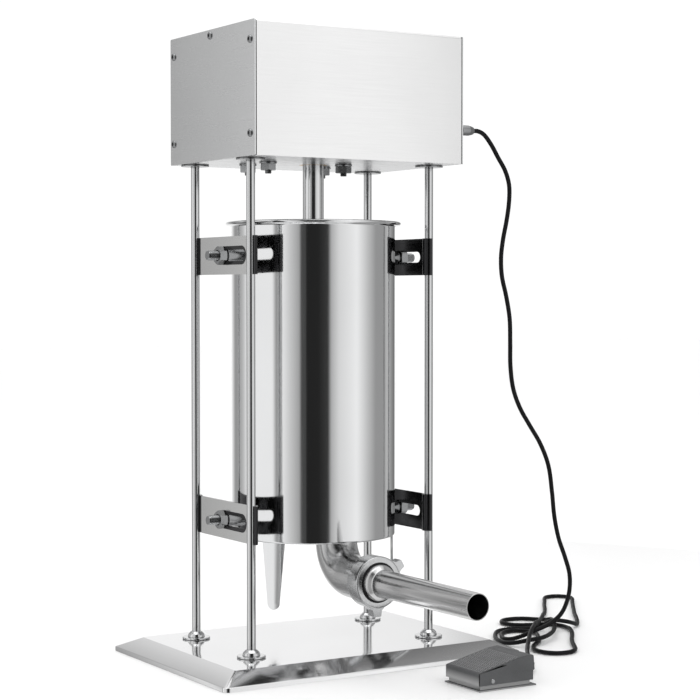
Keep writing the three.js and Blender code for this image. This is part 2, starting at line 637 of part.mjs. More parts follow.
function buildHousing() {
  const { halfX, frontY, rearY, bottomZ, topZ, floorThick, flange } = housing;
  const side = halfX - SHEET - GAP;
  const outer = block(-side, side, frontY, rearY, bottomZ, topZ);
  const inner = block(-side - 5, side + 5, frontY + SHEET, rearY - SHEET, bottomZ - 5, topZ - SHEET);
  const rims = [-1, 1].map((s) => {
    const edge = s * side;
    const [x0, x1] = [Math.min(edge, edge - s * SHEET), Math.max(edge, edge - s * SHEET)];
    const full = block(x0, x1, frontY + 0.5, rearY - 0.5, bottomZ + floorThick + GAP, topZ - 0.5);
    return cut(full, block(x0 - 1, x1 + 1, frontY + flange, rearY - flange, bottomZ + flange, topZ - flange));
  });
  const inletHole = block(78, 106, rearY - 5, rearY + 5, 628, 650);
  const switchHole = block(30, 44, rearY - 5, rearY + 5, 628, 650);
  const folded = joined(cut(outer, inner), ...rims);
  addPart('housing_shell', cut(folded, rodGuideHole(topZ), inletHole, switchHole), satinSteel);

  const glandHole = bar([halfX - 5, gland.y, gland.z], [halfX + 5, gland.y, gland.z], gland.radius + GAP, 24);
  const coverAt = (x0, x1) => block(x0, x1, frontY, rearY, bottomZ, topZ);
  addPart('side_cover_left', coverAt(-halfX, -halfX + SHEET), satinSteel);
  addPart('side_cover_right', cut(coverAt(halfX - SHEET, halfX), glandHole), satinSteel);

  const floorHoles = [
    ...corners.map(([, postSide, y]) => postHole(postSide, y, bottomZ)),
    ...boltPlaces().map(([x, y]) => boltHole(x, y, bottomZ)),
    rodGuideHole(bottomZ),
  ];
  const inset = SHEET + GAP;
  const floor = block(
    -side + 2 * GAP, side - 2 * GAP, frontY + inset, rearY - inset, bottomZ, bottomZ + floorThick);
  addPart('drive_plate', cut(floor, ...floorHoles), plainSteel);

  const lowerGuide = ringProfile(guide.inner, guide.outer, bottomZ, bottomZ + 13);
  addPart('rod_guide_lower', turned(lowerGuide, 32), bronze);
  addPart('rod_guide_upper', turned([
    [guide.inner, topZ - 8], [guide.outer, topZ - 8], [guide.outer, topZ + GAP],
    [guide.flangeRadius, topZ + GAP], [guide.flangeRadius, topZ + 2],
    [guide.inner, topZ + 2], [guide.inner, topZ - 8],
  ], 32), bronze);
}

function buildGearUnit() {
  const seat = housing.bottomZ + housing.floorThick + GAP;
  const motorEnd = -138;
  const motorRadius = 31;
  const { axisY, axisZ, bearingRadius } = gear;
  const foot = block(-92, 42, -36, 70, seat, seat + 8);
  const cheekRight = block(10, 17, 16, 66, seat, axisZ + 26);
  const cheekLeft = block(-30, -22, 4, 66, seat, axisZ + 26);
  const clearance = [
    rodGuideHole(seat),
    bar([-9, axisY, axisZ], [9, axisY, axisZ], gear.pitchRadius + gear.module + 1, 32),
    bar([9, axisY, axisZ], [30, axisY, axisZ], bearingRadius + GAP, 24),
    bar([-40, axisY, axisZ], [-10, axisY, axisZ], bearingRadius + GAP, 24),
    ...boltPlaces().map(([x, y]) => boltHole(x, y, seat)),
    bar([-150, axisY, axisZ], [-30 - GAP, axisY, axisZ], motorRadius + GAP, 40),
  ];
  addPart('gear_frame', cut(joined(foot, cheekRight, cheekLeft), ...clearance), castGrey);
  const bearing = ringProfile(gear.shaftRadius + GAP, bearingRadius, 10, 17);
  addPart('shaft_bearing', turnedSideways(bearing, 24, axisY, axisZ), plainSteel);
  addPart('gear_motor', turnedSideways([
    [0, motorEnd], [12, motorEnd], [14, motorEnd + 3], [29, motorEnd + 5],
    [motorRadius, motorEnd + 8], [motorRadius, -74], [motorRadius - 3, -72], [motorRadius - 3, -70],
    [motorRadius - 0.5, -68], [motorRadius - 0.5, -31], [11.6, -31], [11.6, -20], [0, -20],
  ], 32, axisY, axisZ), darkSteel);
  const under = housing.bottomZ;
  boltPlaces().forEach(([x, y], i) => {
    const washer = bar([x, y, under - GAP], [x, y, under - 2.2], 10.5, 24);
    const nut = hexNut(mountBolts.nutFlats, 8).rotateX(Math.PI / 2).rotateZ(0.3 * i);
    const shank = bar([x, y, under - 14], [x, y, seat + 9], mountBolts.shank, 16);
    const head = hexNut(mountBolts.headFlats, 5).rotateX(Math.PI / 2);
    const bolt = joined(
      washer, shank, toSolid(nut.translate(x, y, under - 6.2)), toSolid(head.translate(x, y, seat + 10.8)));
    addPart(`gear_frame_bolt_${y < 0 ? 'front' : 'rear'}_${x < 0 ? 'left' : 'right'}`, bolt, plainSteel);
  });
  const boardFeet = [[60, -76], [128, -76], [60, 36], [128, 36]];
  addPart('control_board', joined(
    block(56, 132, -80, 40, seat + 8, seat + 10),
    block(62, 92, -70, -40, seat + 10, seat + 34),
    block(98, 126, -74, -52, seat + 10, seat + 40),
    block(62, 120, -20, 28, seat + 10, seat + 28),
    ...boardFeet.map(([x, y]) => bar([x, y, seat], [x, y, seat + 9], 3, 12)),
  ), boardGreen);
}

function buildSwitchAndInlets() {
  const y = housing.rearY;
  const frame = block(28, 46, y + GAP, y + 2.3, 625.5, 652.5);
  const well = block(30.4, 43.6, y - 14, y + 1, 628.4, 649.6);
  const rockerRoom = block(31.5, 42.5, y - 12, y + 5, 630, 648);
  addPart('direction_switch', cut(joined(frame, well), rockerRoom), blackPlastic);
  const shape = new THREE.Shape();
  shape.moveTo(-8.4, 4.5);
  shape.lineTo(-7.6, -6);
  shape.lineTo(7.6, -6);
  shape.lineTo(8.4, 4.5);
  shape.lineTo(0, 3);
  addPart('switch_rocker', pushed(shape, 10.2, Z, Y, [37 + 5.1, y, 639]), blackPlastic);
  addPart('power_inlet', cut(
    joined(block(74, 110, y + GAP, y + 2.5, 624, 654), block(78.4, 105.6, y - 22, y + 1, 628.4, 649.6)),
    block(81, 103, y - 14, y + 5, 631, 647)), blackPlastic);
  const { radius, flangeRadius, tipRadius, length } = gland;
  const wallX = housing.halfX;
  const tip = wallX + length;
  addPart('cord_gland', turnedSideways([
    [0, wallX - 12], [radius, wallX - 12], [radius, wallX + GAP], [flangeRadius, wallX + GAP],
    [flangeRadius, wallX + 6], [radius + 0.4, wallX + 7], [radius + 0.4, tip - 8],
    [tipRadius + 0.8, tip - 3], [tipRadius, tip], [0, tip],
  ], 20, gland.y, gland.z), plainSteel);
}

// ---------------------------------------------------------------- foot pedal

function pedalOutline(inset, skirtZ) {
  const { toeX, heelX, toeZ, heelZ, kneeX } = pedal;
  const shape = new THREE.Shape();
  shape.moveTo(toeX + inset, skirtZ);
  shape.lineTo(toeX + inset, toeZ - inset);
  shape.lineTo(kneeX, heelZ - 1.2 - inset);
  shape.lineTo(heelX - 1.5 - inset, heelZ - inset);
  shape.lineTo(heelX - inset, 18);
  shape.lineTo(heelX - 2 - inset, 17);
  shape.lineTo(heelX - 2 - inset, skirtZ);
  return shape;
}

// The outline is drawn in X and Z, and pushed along Y.
function sideExtrusion(shape, y0, y1) {
  return pushed(shape, y1 - y0, X, Z, [0, y1, 0]);
}

function buildPedal() {
  const { toeX, heelX, frontY, rearY, skirtZ, wall, pinX, pinZ, pinRadius, cordY, cordZ } = pedal;
  const shell = cut(
    sideExtrusion(pedalOutline(0, skirtZ), frontY, rearY),
    sideExtrusion(pedalOutline(wall, skirtZ - 5), frontY + wall, rearY - wall),
    bar([pinX, frontY - 5, pinZ], [pinX, rearY + 5, pinZ], pinRadius + GAP, 16),
    block(heelX - 12, heelX + 5, cordY - 8, cordY + 8, 0, 23));
  addPart('pedal_treadle', shell, pedalPaint);
  const ear = (y) => block(toeX + 8, toeX + 30, y, y + 1.5, 1, 17);
  const gapY = wall + 0.8;
  addPart('pedal_base', cut(joined(
    block(toeX - 1, heelX + 1.5, frontY - 1, rearY + 1, 0, 1.6),
    block(toeX + 4, heelX - 5, frontY + gapY, rearY - gapY, 0, 3),
    ear(frontY + gapY), ear(rearY - gapY - 1.5),
    block(heelX - 9, heelX - 1, cordY - 6, cordY + 6, 0, cordZ + 5),
  ), bar([pinX, frontY - 5, pinZ], [pinX, rearY + 5, pinZ], pinRadius + GAP, 16)), pedalPaint);
  addPart('pedal_pin', bar([pinX, frontY - 0.8, pinZ], [pinX, rearY + 0.8, pinZ], pinRadius, 16), plainSteel);
  addPart('pedal_switch', cut(
    block(74, 94, -275, -265, 3 + GAP, 24), block(87.3, 90.7, -271.7, -268.3, 19, 25)), blackPlastic);
  addPart('switch_plunger', block(87.7, 90.3, -271.3, -268.7, 22, 29.2), whiteRubber);
  addPart('pedal_spring', turned(ringProfile(4.2, 6, 3 + GAP, 29), 12).translate([98, -254, 0]), plainSteel);
  addPart('pedal_grommet', turnedSideways([
    [0, heelX - 1 + GAP], [5, heelX - 1 + GAP], [5, heelX + 3], [4.2, heelX + 4], [3.6, heelX + 14],
    [0, heelX + 14],
  ], 16, cordY, cordZ), blackPlastic);
}

// ---------------------------------------------------------------- the pedal's cord

function buildCord() {
  const clearance = wrapping(cordLoops, cordRadius + GAP);
  const drop = cordTube([...cordDrop, ...cordLoops.slice(0, 2)]);
  addPart('pedal_cord_drop', cut(drop, clearance), blackPlastic);
  addPart('pedal_cord_bundle', wrapping(cordLoops, cordRadius), blackPlastic);
  addPart('pedal_cord_lead', cut(cordTube(cordLead), clearance), blackPlastic);
}

buildBase();
buildPosts();
buildBarrel();
buildElbow();
buildBrackets();
buildNozzle();
buildDrive();
buildPiston();
buildHousing();
buildGearUnit();
buildSwitchAndInlets();
buildPedal();
buildCord();

export default machine;
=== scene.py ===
import math

import bmesh
import bpy
from mathutils import Matrix, Vector
from mathutils.geometry import tessellate_polygon


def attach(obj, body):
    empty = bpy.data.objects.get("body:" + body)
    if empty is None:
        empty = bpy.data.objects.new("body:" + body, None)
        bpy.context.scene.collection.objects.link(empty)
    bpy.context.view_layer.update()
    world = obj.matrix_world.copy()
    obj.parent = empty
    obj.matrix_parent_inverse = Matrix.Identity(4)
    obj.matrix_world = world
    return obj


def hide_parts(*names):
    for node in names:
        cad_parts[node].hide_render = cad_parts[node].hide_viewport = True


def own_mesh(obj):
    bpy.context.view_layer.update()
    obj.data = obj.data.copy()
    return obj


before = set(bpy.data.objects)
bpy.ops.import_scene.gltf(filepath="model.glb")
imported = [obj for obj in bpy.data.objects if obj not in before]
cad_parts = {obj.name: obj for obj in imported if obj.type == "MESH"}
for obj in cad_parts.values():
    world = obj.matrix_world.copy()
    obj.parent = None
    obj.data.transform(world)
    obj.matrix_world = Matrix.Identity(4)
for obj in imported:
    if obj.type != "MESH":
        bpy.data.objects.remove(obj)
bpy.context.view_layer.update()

# An upright electric sausage stuffer. Shapes are drawn in millimetres and become metres in piece().
# The origin is on the floor under the barrel's axis, +Z is up and the nozzle points to -Y.

MM = 0.001
GAP = 0.3

POST_X = 124.5
POST_YS = {"front": -68.0, "rear": 72.0}
SIDES = {"left": -1, "right": 1}
HOUSING = {"half_x": 143.8, "front": -113.0, "rear": 99.5, "low": 597.5, "high": 751.0, "sheet": 1.5}
BARREL = {"radius": 100.0, "wall": 1.5, "low": 146.0, "high": 528.0, "rim": 107.5}
STUD_ZS = {"upper": 486.0, "lower": 172.0}
OUTLET_Z = 105.5
GLAND = {"y": -97.0, "z": 640.0, "radius": 6.0, "length": 26.0}

# ---- camera

CAMERA_PLACE = (-1.154575, -1.941461, 0.441407)
CAMERA_TURN = -31.88
CAMERA_PITCH = 1.7625


def make_camera():
    data = bpy.data.cameras.new("camera")
    data.sensor_width = 36
    data.lens = 94.874
    camera = bpy.data.objects.new("camera", data)
    camera.location = CAMERA_PLACE
    camera.rotation_euler = (math.radians(90 - CAMERA_PITCH), 0, math.radians(CAMERA_TURN))
    bpy.context.collection.objects.link(camera)
    bpy.context.scene.camera = camera


make_camera()

# ---- finishes


class Finish:
    """A procedural material: broad tint, fine grain in the roughness and the bump."""

    def __init__(self, name, color, metallic, roughness):
        self.material = bpy.data.materials.new(name)
        self.material.use_nodes = True
        self.nodes = self.material.node_tree.nodes
        self.links = self.material.node_tree.links
        self.shader = self.nodes["Principled BSDF"]
        self.shader.inputs["Metallic"].default_value = metallic
        self.place = self.nodes.new("ShaderNodeTexCoord").outputs["Object"]
        self.color = color
        self.roughness = roughness

    def noise(self, scale, detail=4, stretch=(1, 1, 1)):
        mapping = self.nodes.new("ShaderNodeMapping")
        mapping.inputs["Scale"].default_value = stretch
        self.links.new(self.place, mapping.inputs["Vector"])
        noise = self.nodes.new("ShaderNodeTexNoise")
        noise.inputs["Scale"].default_value = scale
        noise.inputs["Detail"].default_value = detail
        self.links.new(mapping.outputs["Vector"], noise.inputs["Vector"])
        return noise.outputs["Fac"]

    def spread(self, value, low, high, start=0.3, end=0.7):
        ramp = self.nodes.new("ShaderNodeMapRange")
        for socket, number in zip(("From Min", "From Max", "To Min", "To Max"), (start, end, low, high)):
            ramp.inputs[socket].default_value = number
        self.links.new(value, ramp.inputs["Value"])
        return ramp.outputs["Result"]

    def blend(self, factor, first, second):
        mix = self.nodes.new("ShaderNodeMix")
        mix.data_type = "RGBA"
        self.links.new(factor, mix.inputs["Factor"])
        for socket, value in ((mix.inputs["A"], first), (mix.inputs["B"], second)):
            if isinstance(value, tuple):
                socket.default_value = (*value, 1)
            else:
                self.links.new(value, socket)
        return mix.outputs["Result"]

    def tint(self, scale, amount):
        darker = tuple(channel * (1 - amount) for channel in self.color)
        self.base = self.blend(self.spread(self.noise(scale), 0, 1), darker, self.color)
        self.links.new(self.base, self.shader.inputs["Base Color"])
        return self

    def patches(self, scale, color, start, end):
        factor = self.spread(self.noise(scale, detail=8), 0, 1, start, end)
        self.base = self.blend(factor, self.base, color)
        self.links.new(self.base, self.shader.inputs["Base Color"])
        return self

    def worn_edges(self, color, start=0.54, end=0.6):
        edges = self.nodes.new("ShaderNodeNewGeometry").outputs["Pointiness"]
        self.base = self.blend(self.spread(edges, 0, 0.7, start, end), self.base, color)
        self.links.new(self.base, self.shader.inputs["Base Color"])
        return self

    def grain(self, scale, amount, stretch=(1, 1, 1)):
        rough = self.spread(self.noise(scale, 3, stretch), self.roughness - amount, self.roughness + amount)
        self.links.new(rough, self.shader.inputs["Roughness"])
        return self

    def sheen(self, amount):
        self.shader.inputs["Specular IOR Level"].default_value = amount
        return self

    def relief(self, scale, height, stretch=(1, 1, 1), strength=0.5):
        bump = self.nodes.new("ShaderNodeBump")
        bump.inputs["Distance"].default_value = height
        bump.inputs["Strength"].default_value = strength
        self.links.new(self.noise(scale, 3, stretch), bump.inputs["Height"])
        self.links.new(bump.outputs["Normal"], self.shader.inputs["Normal"])
        return self


ALONG_X = (0.02, 1, 1)
ALONG_Y = (1, 0.02, 1)
ALONG_Z = (1, 1, 0.02)


def steel(name, color, roughness, amount, stretch, scale=900, height=0.00001):
    return Finish(name, color, 1, roughness).tint(6, 0.05).grain(scale, amount, stretch).relief(
        scale, height, stretch, 0.25).material


MIRROR_STEEL = steel("mirror_steel", (0.80, 0.805, 0.81), 0.085, 0.03, ALONG_Z, height=0.000002)
BORE_STEEL = Finish("bore_steel", (0.78, 0.785, 0.79), 0.5, 0.38).tint(6, 0.06).grain(
    500, 0.06, ALONG_Z).relief(500, 0.00001, ALONG_Z).material
PIPE_STEEL = steel("pipe_steel", (0.62, 0.62, 0.62), 0.20, 0.06, ALONG_Y, height=0.000008)
TRAY_STEEL = steel("tray_steel", (0.86, 0.86, 0.865), 0.10, 0.03, ALONG_X, height=0.000002)
POST_STEEL = steel("post_steel", (0.70, 0.705, 0.71), 0.12, 0.04, ALONG_Z, height=0.000004)
SHEET_STEEL = steel("sheet_steel", (0.88, 0.88, 0.88), 0.22, 0.04, ALONG_X, height=0.000004)
COVER_STEEL = steel("cover_steel", (0.78, 0.785, 0.79), 0.24, 0.04, ALONG_Y, height=0.000004)
BRACKET_STEEL = steel("bracket_steel", (0.76, 0.76, 0.755), 0.16, 0.04, ALONG_Y, height=0.000004)
# Near-black colour on the brackets' back plates and post saddles is painted shade and dark reflection, on a
# bracket whose face is light steel.
BRACKET_PAINTED_SHADE = steel("bracket_painted_shade", (0.05, 0.05, 0.052), 0.20, 0.05, ALONG_Y, height=0.000008)
NUT_STEEL = steel("nut_steel", (0.33, 0.335, 0.34), 0.22, 0.07, (1, 1, 1), 500, 0.00003)
CAST_STEEL = steel("cast_steel", (0.58, 0.585, 0.59), 0.24, 0.08, (1, 1, 1), 350, 0.00005)
PLATE_STEEL = steel("plate_steel", (0.74, 0.745, 0.75), 0.30, 0.08, ALONG_X)
GEAR_STEEL = Finish("gear_steel", (0.20, 0.205, 0.21), 1, 0.42).tint(40, 0.3).grain(300, 0.1).relief(
    400, 0.00004).worn_edges((0.55, 0.55, 0.56)).material
BEARING_BRONZE = Finish("bearing_bronze", (0.62, 0.43, 0.20), 1, 0.34).tint(60, 0.25).grain(
    500, 0.1, (1, 1, 0.05)).relief(500, 0.00002, (1, 1, 0.05)).material
CAST_GREY = Finish("cast_grey", (0.34, 0.35, 0.36), 0.5, 0.55).tint(30, 0.25).grain(200, 0.1).relief(
    260, 0.0003).material
PEDAL_PAINT = Finish("pedal_paint", (0.075, 0.077, 0.08), 0.1, 0.48).tint(35, 0.22).grain(
    600, 0.1).relief(900, 0.00012).worn_edges((0.42, 0.42, 0.42)).material
TREAD_PAINT = Finish("tread_paint", (0.30, 0.30, 0.305), 0.2, 0.42).tint(60, 0.3).grain(
    600, 0.1).material
BLACK_PLASTIC = Finish("black_plastic", (0.012, 0.012, 0.013), 0, 0.46).tint(50, 0.3).grain(
    700, 0.1).relief(1500, 0.00004).sheen(0.25).material
CORD_PVC = Finish("cord_pvc", (0.008, 0.008, 0.009), 0, 0.40).tint(25, 0.35).grain(
    160, 0.12).relief(500, 0.00005).sheen(0.12).material
SILICONE = Finish("silicone", (0.80, 0.78, 0.73), 0, 0.55).tint(40, 0.08).grain(400, 0.1).relief(
    700, 0.00004).material
WHITE_NYLON = Finish("white_nylon", (0.82, 0.81, 0.78), 0, 0.4).tint(60, 0.06).grain(400, 0.08).material
BOARD_GREEN = Finish("board_green", (0.02, 0.16, 0.07), 0, 0.38).tint(90, 0.4).patches(
    420, (0.42, 0.30, 0.10), 0.62, 0.66).grain(500, 0.1).material

# ---- shapes

ON_X = Matrix(((0, 0, 1), (1, 0, 0), (0, 1, 0))).to_4x4()
ON_Y = Matrix(((1, 0, 0), (0, 0, 1), (0, -1, 0))).to_4x4()


def shift(x, y, z):
    return Matrix.Translation((x, y, z))


def fillet(points, radius, steps=5, closed=True):
    """Rounds the corners of an outline. A corner may carry its own radius as a third number."""
    rounded = []
    last = len(points) - 1
    for i, point in enumerate(points):
        corner = Vector(point[:2])
        before = Vector(points[i - 1][:2]) - corner
        after = Vector(points[(i + 1) % len(points)][:2]) - corner
        own = point[2] if len(point) > 2 else radius
        if own <= 0 or (not closed and i in (0, last)) or before.length < 1e-6 or after.length < 1e-6:
            rounded.append(tuple(corner))
            continue
        angle = before.angle(after)
        reach = min(own / math.tan(angle / 2), 0.48 * before.length, 0.48 * after.length)
        start = corner + before.normalized() * reach
        end = corner + after.normalized() * reach
        for k in range(steps + 1):
            t = k / steps
            bent = start * (1 - t) ** 2 + corner * 2 * t * (1 - t) + end * t ** 2
            rounded.append(tuple(bent))
    return rounded


def circle(radius, centre=(0, 0), sides=48):
    turns = [2 * math.pi * i / sides for i in range(sides)]
    return [(centre[0] + radius * math.cos(a), centre[1] + radius * math.sin(a)) for a in turns]


def obround(half, start, end, steps=16):
    """A slot drawn along the first axis from start to end."""
    points = []
    for centre, first in ((start, 0.5), (end, 1.5)):
        for i in range(steps + 1):
            angle = math.pi * (first + i / steps)
            points.append((centre + half * math.cos(angle), half * math.sin(angle)))
    return points


def loft(loops, ring=False):
    """Faces through loops with equal numbers of points. A ring joins its last loop to its first."""
    count = len(loops[0])
    points = [point for loop in loops for point in loop]
    faces = []
    levels = len(loops) if ring else len(loops) - 1
    for level in range(levels):
        low = level * count
        high = (level + 1) % len(loops) * count
        for i in range(count):
            j = (i + 1) % count
            faces.append([low + i, low + j, high + j, high + i])
    if not ring:
        top = (len(loops) - 1) * count
        faces.append(list(range(count))[::-1])
        faces.append([top + i for i in range(count)])
    return points, faces


def turned_loops(profile, sides):
    """Loops about Z: the profile's points are (radius, height)."""
    around = circle(1, sides=sides)
    return [[(radius * x, radius * y, height) for x, y in around] for radius, height in profile]


def lathe(profile, sides=96):
    """A turned form whose ends are closed by flat caps."""
    return loft(turned_loops(profile, sides))


def turned_ring(profile, sides=96):
    """A turned form whose profile is a closed outline away from the axis."""
    return loft(turned_loops(profile, sides), ring=True)


def plate(outer, low, high, holes=()):
    """A flat sheet with holes, between two heights."""
    rings = [outer, *holes]
    flat = [Vector((x, y, 0)) for ring in rings for x, y in ring]
    count = len(flat)
    points = [(v.x, v.y, low) for v in flat] + [(v.x, v.y, high) for v in flat]
    faces = []
    for triangle in tessellate_polygon([[Vector((x, y, 0)) for x, y in ring] for ring in rings]):
        faces.append(list(triangle))
        faces.append([count + i for i in reversed(triangle)])
    start = 0
    for ring in rings:
        size = len(ring)
        for i in range(size):
            a, b = start + i, start + (i + 1) % size
            faces.append([a, b, count + b, count + a])
        start += size
    return points, faces


def moved(form, *places):
    points, faces = form
    whole = Matrix.Identity(4)
    for place in places:
        whole = place @ whole
    return [whole @ Vector(point) for point in points], faces


def join_forms(forms):
    points = []
    faces = []
    for form_points, form_faces in forms:
        start = len(points)
        points += [Vector(point) for point in form_points]
        faces += [[start + i for i in face] for face in form_faces]
    return points, faces


def piece(name, forms, material, body="root", replaces=(), bevel=0, sharp=35):
    """One object from a list of forms, riding on a body."""
    points, faces = join_forms(forms)
    mesh = bpy.data.meshes.new(name)
    mesh.from_pydata([point * MM for point in points], [], faces)
    mesh.validate()
    made = bpy.data.objects.new(name, mesh)
    bpy.context.collection.objects.link(made)
    mend_normals(mesh)
    mesh.polygons.foreach_set("use_smooth", [True] * len(mesh.polygons))
    mesh.set_sharp_from_angle(angle=math.radians(sharp))
    mesh.materials.append(material)
    if bevel:
        modifier = made.modifiers.new("edges", "BEVEL")
        modifier.width = bevel * MM
        modifier.segments = 3
        modifier.limit_method = "ANGLE"
        modifier.angle_limit = math.radians(40)
        modifier.harden_normals = True
    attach(made, body)
    if replaces:
        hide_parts(*replaces)
    return made


def mend_normals(mesh):
    """Welds points that coincide and turns every face outwards."""
    work = bmesh.new()
    work.from_mesh(mesh)
    bmesh.ops.remove_doubles(work, verts=work.verts, dist=1e-6)
    bmesh.ops.recalc_face_normals(work, faces=work.faces)
    work.to_mesh(mesh)
    work.free()


# ---- the pedal's cord

CORD_DIAMETER = 0.0055

# These three lists repeat the route's points from part.mjs, in metres.
CORD_DROP = [
    (0.1702, -0.097, 0.640), (0.177, -0.097, 0.640), (0.186, -0.097, 0.6365), (0.197, -0.097, 0.625),
    (0.208, -0.097, 0.609), (0.219, -0.097, 0.593), (0.225, -0.097, 0.576), (0.2252, -0.097, 0.556),
    (0.2215, -0.097, 0.532), (0.216, -0.097, 0.508), (0.213, -0.097, 0.485), (0.2145, -0.097, 0.462),
    (0.221, -0.097, 0.438), (0.2265, -0.097, 0.410), (0.2275, -0.097, 0.380), (0.228, -0.097, 0.350),
    (0.2325, -0.097, 0.322), (0.243, -0.097, 0.298), (0.258, -0.097, 0.276), (0.275, -0.097, 0.252),
    (0.288, -0.097, 0.224), (0.294, -0.097, 0.190), (0.298, -0.097, 0.158), (0.305, -0.097, 0.130),
    (0.315, -0.097, 0.106), (0.3225, -0.097, 0.084), (0.323, -0.097, 0.064), (0.316, -0.099, 0.046),
    (0.307, -0.099, 0.033),
]

CORD_LOOPS = [
    (0.294, -0.097, 0.0235), (0.279, -0.096, 0.018), (0.263, -0.095, 0.014), (0.250, -0.091, 0.009),
    (0.242, -0.081, 0.005), (0.242, -0.066, 0.0031), (0.250, -0.051, 0.0031), (0.261, -0.036, 0.0031),
    (0.275, -0.028, 0.0031), (0.291, -0.031, 0.0031), (0.300, -0.043, 0.0031), (0.298, -0.060, 0.0031),
    (0.288, -0.077, 0.0031), (0.276, -0.095, 0.0031), (0.261, -0.110, 0.0031), (0.244, -0.125, 0.0031),
    (0.232, -0.142, 0.0031), (0.229, -0.156, 0.0031), (0.232, -0.168, 0.0031), (0.240, -0.177, 0.0031),
    (0.253, -0.180, 0.0031), (0.266, -0.176, 0.0031), (0.277, -0.166, 0.0031), (0.288, -0.150, 0.0031),
    (0.300, -0.132, 0.0031), (0.315, -0.112, 0.0031), (0.330, -0.094, 0.0031), (0.346, -0.073, 0.0031),
    (0.358, -0.052, 0.0031), (0.361, -0.030, 0.0031), (0.352, -0.014, 0.0031), (0.334, -0.008, 0.0031),
    (0.318, -0.001, 0.0031), (0.308, 0.011, 0.0031), (0.308, 0.027, 0.0031), (0.320, 0.040, 0.0031),
    (0.337, 0.042, 0.0031), (0.351, 0.036, 0.0031), (0.362, 0.023, 0.0031), (0.365, 0.007, 0.0045),
    (0.360, -0.012, 0.0088), (0.349, -0.032, 0.009), (0.334, -0.053, 0.009), (0.318, -0.072, 0.009),
    (0.300, -0.090, 0.009), (0.280, -0.105, 0.009), (0.261, -0.114, 0.009), (0.243, -0.115, 0.0088),
    (0.230, -0.106, 0.0055), (0.226, -0.090, 0.0031), (0.229, -0.072, 0.0031), (0.237, -0.055, 0.0031),
    (0.250, -0.037, 0.0031), (0.263, -0.023, 0.0031), (0.279, -0.016, 0.0031), (0.296, -0.018, 0.0031),
    (0.310, -0.028, 0.0035), (0.321, -0.040, 0.008), (0.335, -0.048, 0.0147), (0.350, -0.050, 0.013),
    (0.366, -0.047, 0.009), (0.383, -0.037, 0.004), (0.397, -0.021, 0.0031), (0.415, 0.003, 0.0031),
    (0.435, 0.032, 0.0031), (0.456, 0.060, 0.0031), (0.477, 0.088, 0.0031), (0.497, 0.114, 0.0031),
    (0.508, 0.128, 0.0031), (0.513, 0.141, 0.0031), (0.509, 0.154, 0.0031), (0.498, 0.161, 0.0031),
    (0.485, 0.159, 0.0031), (0.474, 0.149, 0.0031), (0.462, 0.133, 0.0031), (0.442, 0.108, 0.0031),
    (0.422, 0.081, 0.0031), (0.401, 0.055, 0.0034), (0.382, 0.032, 0.0075), (0.364, 0.011, 0.0105),
    (0.345, -0.011, 0.012), (0.325, -0.033, 0.014), (0.306, -0.055, 0.0175), (0.287, -0.074, 0.0205),
    (0.268, -0.094, 0.021), (0.248, -0.113, 0.017),
]

CORD_LEAD = [
    (0.229, -0.134, 0.0115), (0.212, -0.154, 0.008), (0.184, -0.193, 0.006), (0.169, -0.216, 0.007),
    (0.159, -0.233, 0.009), (0.147, -0.246, 0.0107), (0.135, -0.252, 0.011), (0.1283, -0.252, 0.011),
]


def smooth_route(route, steps=6):
    """A centripetal Catmull-Rom curve through the route's points."""
    points = [Vector(point) for point in route]
    points.insert(0, 2 * points[0] - points[1])
    points.append(2 * points[-1] - points[-2])
    line = []
    for p0, p1, p2, p3 in zip(points, points[1:], points[2:], points[3:]):
        d0, d1, d2 = ((b - a).length ** 0.5 for a, b in ((p0, p1), (p1, p2), (p2, p3)))
        start = ((p1 - p0) / d0 - (p2 - p0) / (d0 + d1) + (p2 - p1) / d1) * d1
        end = ((p2 - p1) / d1 - (p3 - p1) / (d1 + d2) + (p3 - p2) / d2) * d1
        for i in range(steps):
            t = i / steps
            line.append((2 * t ** 3 - 3 * t ** 2 + 1) * p1 + (t ** 3 - 2 * t ** 2 + t) * start
                        + (3 * t ** 2 - 2 * t ** 3) * p2 + (t ** 3 - t ** 2) * end)
    line.append(points[-2])
    return line


def make_cord():
    line = smooth_route(CORD_DROP + CORD_LOOPS + CORD_LEAD)
    curve = bpy.data.curves.new("pedal_cord", "CURVE")
    curve.dimensions = "3D"
    curve.bevel_depth = CORD_DIAMETER / 2
    curve.bevel_resolution = 5
    curve.use_fill_caps = True
    spline = curve.splines.new("POLY")
    spline.points.add(len(line) - 1)
    for point, place in zip(spline.points, line):
        point.co = (*place, 1)
    spline.use_smooth = True
    cord = bpy.data.objects.new("pedal_cord", curve)
    cord.data.materials.append(CORD_PVC)
    bpy.context.collection.objects.link(cord)
    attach(cord, "root")
    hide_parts("pedal_cord_drop", "pedal_cord_bundle", "pedal_cord_lead")


make_cord()

# ---- base and posts

TRAY = {"half_x": 204.0, "half_y": 147.0, "centre_y": -6.0, "lip": 5.5, "height": 18.0, "bevel": 27.0}


def tray_loop(shrink, z, corner=7.0, steps=8):
    half_x = TRAY["half_x"] - shrink
    half_y = TRAY["half_y"] - shrink
    corner = max(corner - shrink * 0.15, 2.5)
    loop = []
    for quarter, (sx, sy) in enumerate(((1, 1), (-1, 1), (-1, -1), (1, -1))):
        for i in range(steps + 1):
            angle = math.radians(90 * quarter + 90 * i / steps)
            x = sx * (half_x - corner) + corner * math.cos(angle)
            y = sy * (half_y - corner) + corner * math.sin(angle) + TRAY["centre_y"]
            loop.append((x, y, z))
    return loop


def make_base():
    lip, height, bevel = TRAY["lip"], TRAY["height"], TRAY["bevel"]
    outline = fillet([(1.5, 1.2), (1.5, 0), (0, 0), (0, lip), (bevel, height), (bevel + 12, height)],
                     1.2, closed=False)
    loops = [tray_loop(shrink, z) for shrink, z in outline]
    piece("base_tray_skin", [loft(loops)], TRAY_STEEL, replaces=["base_tray"],
          sharp=50)


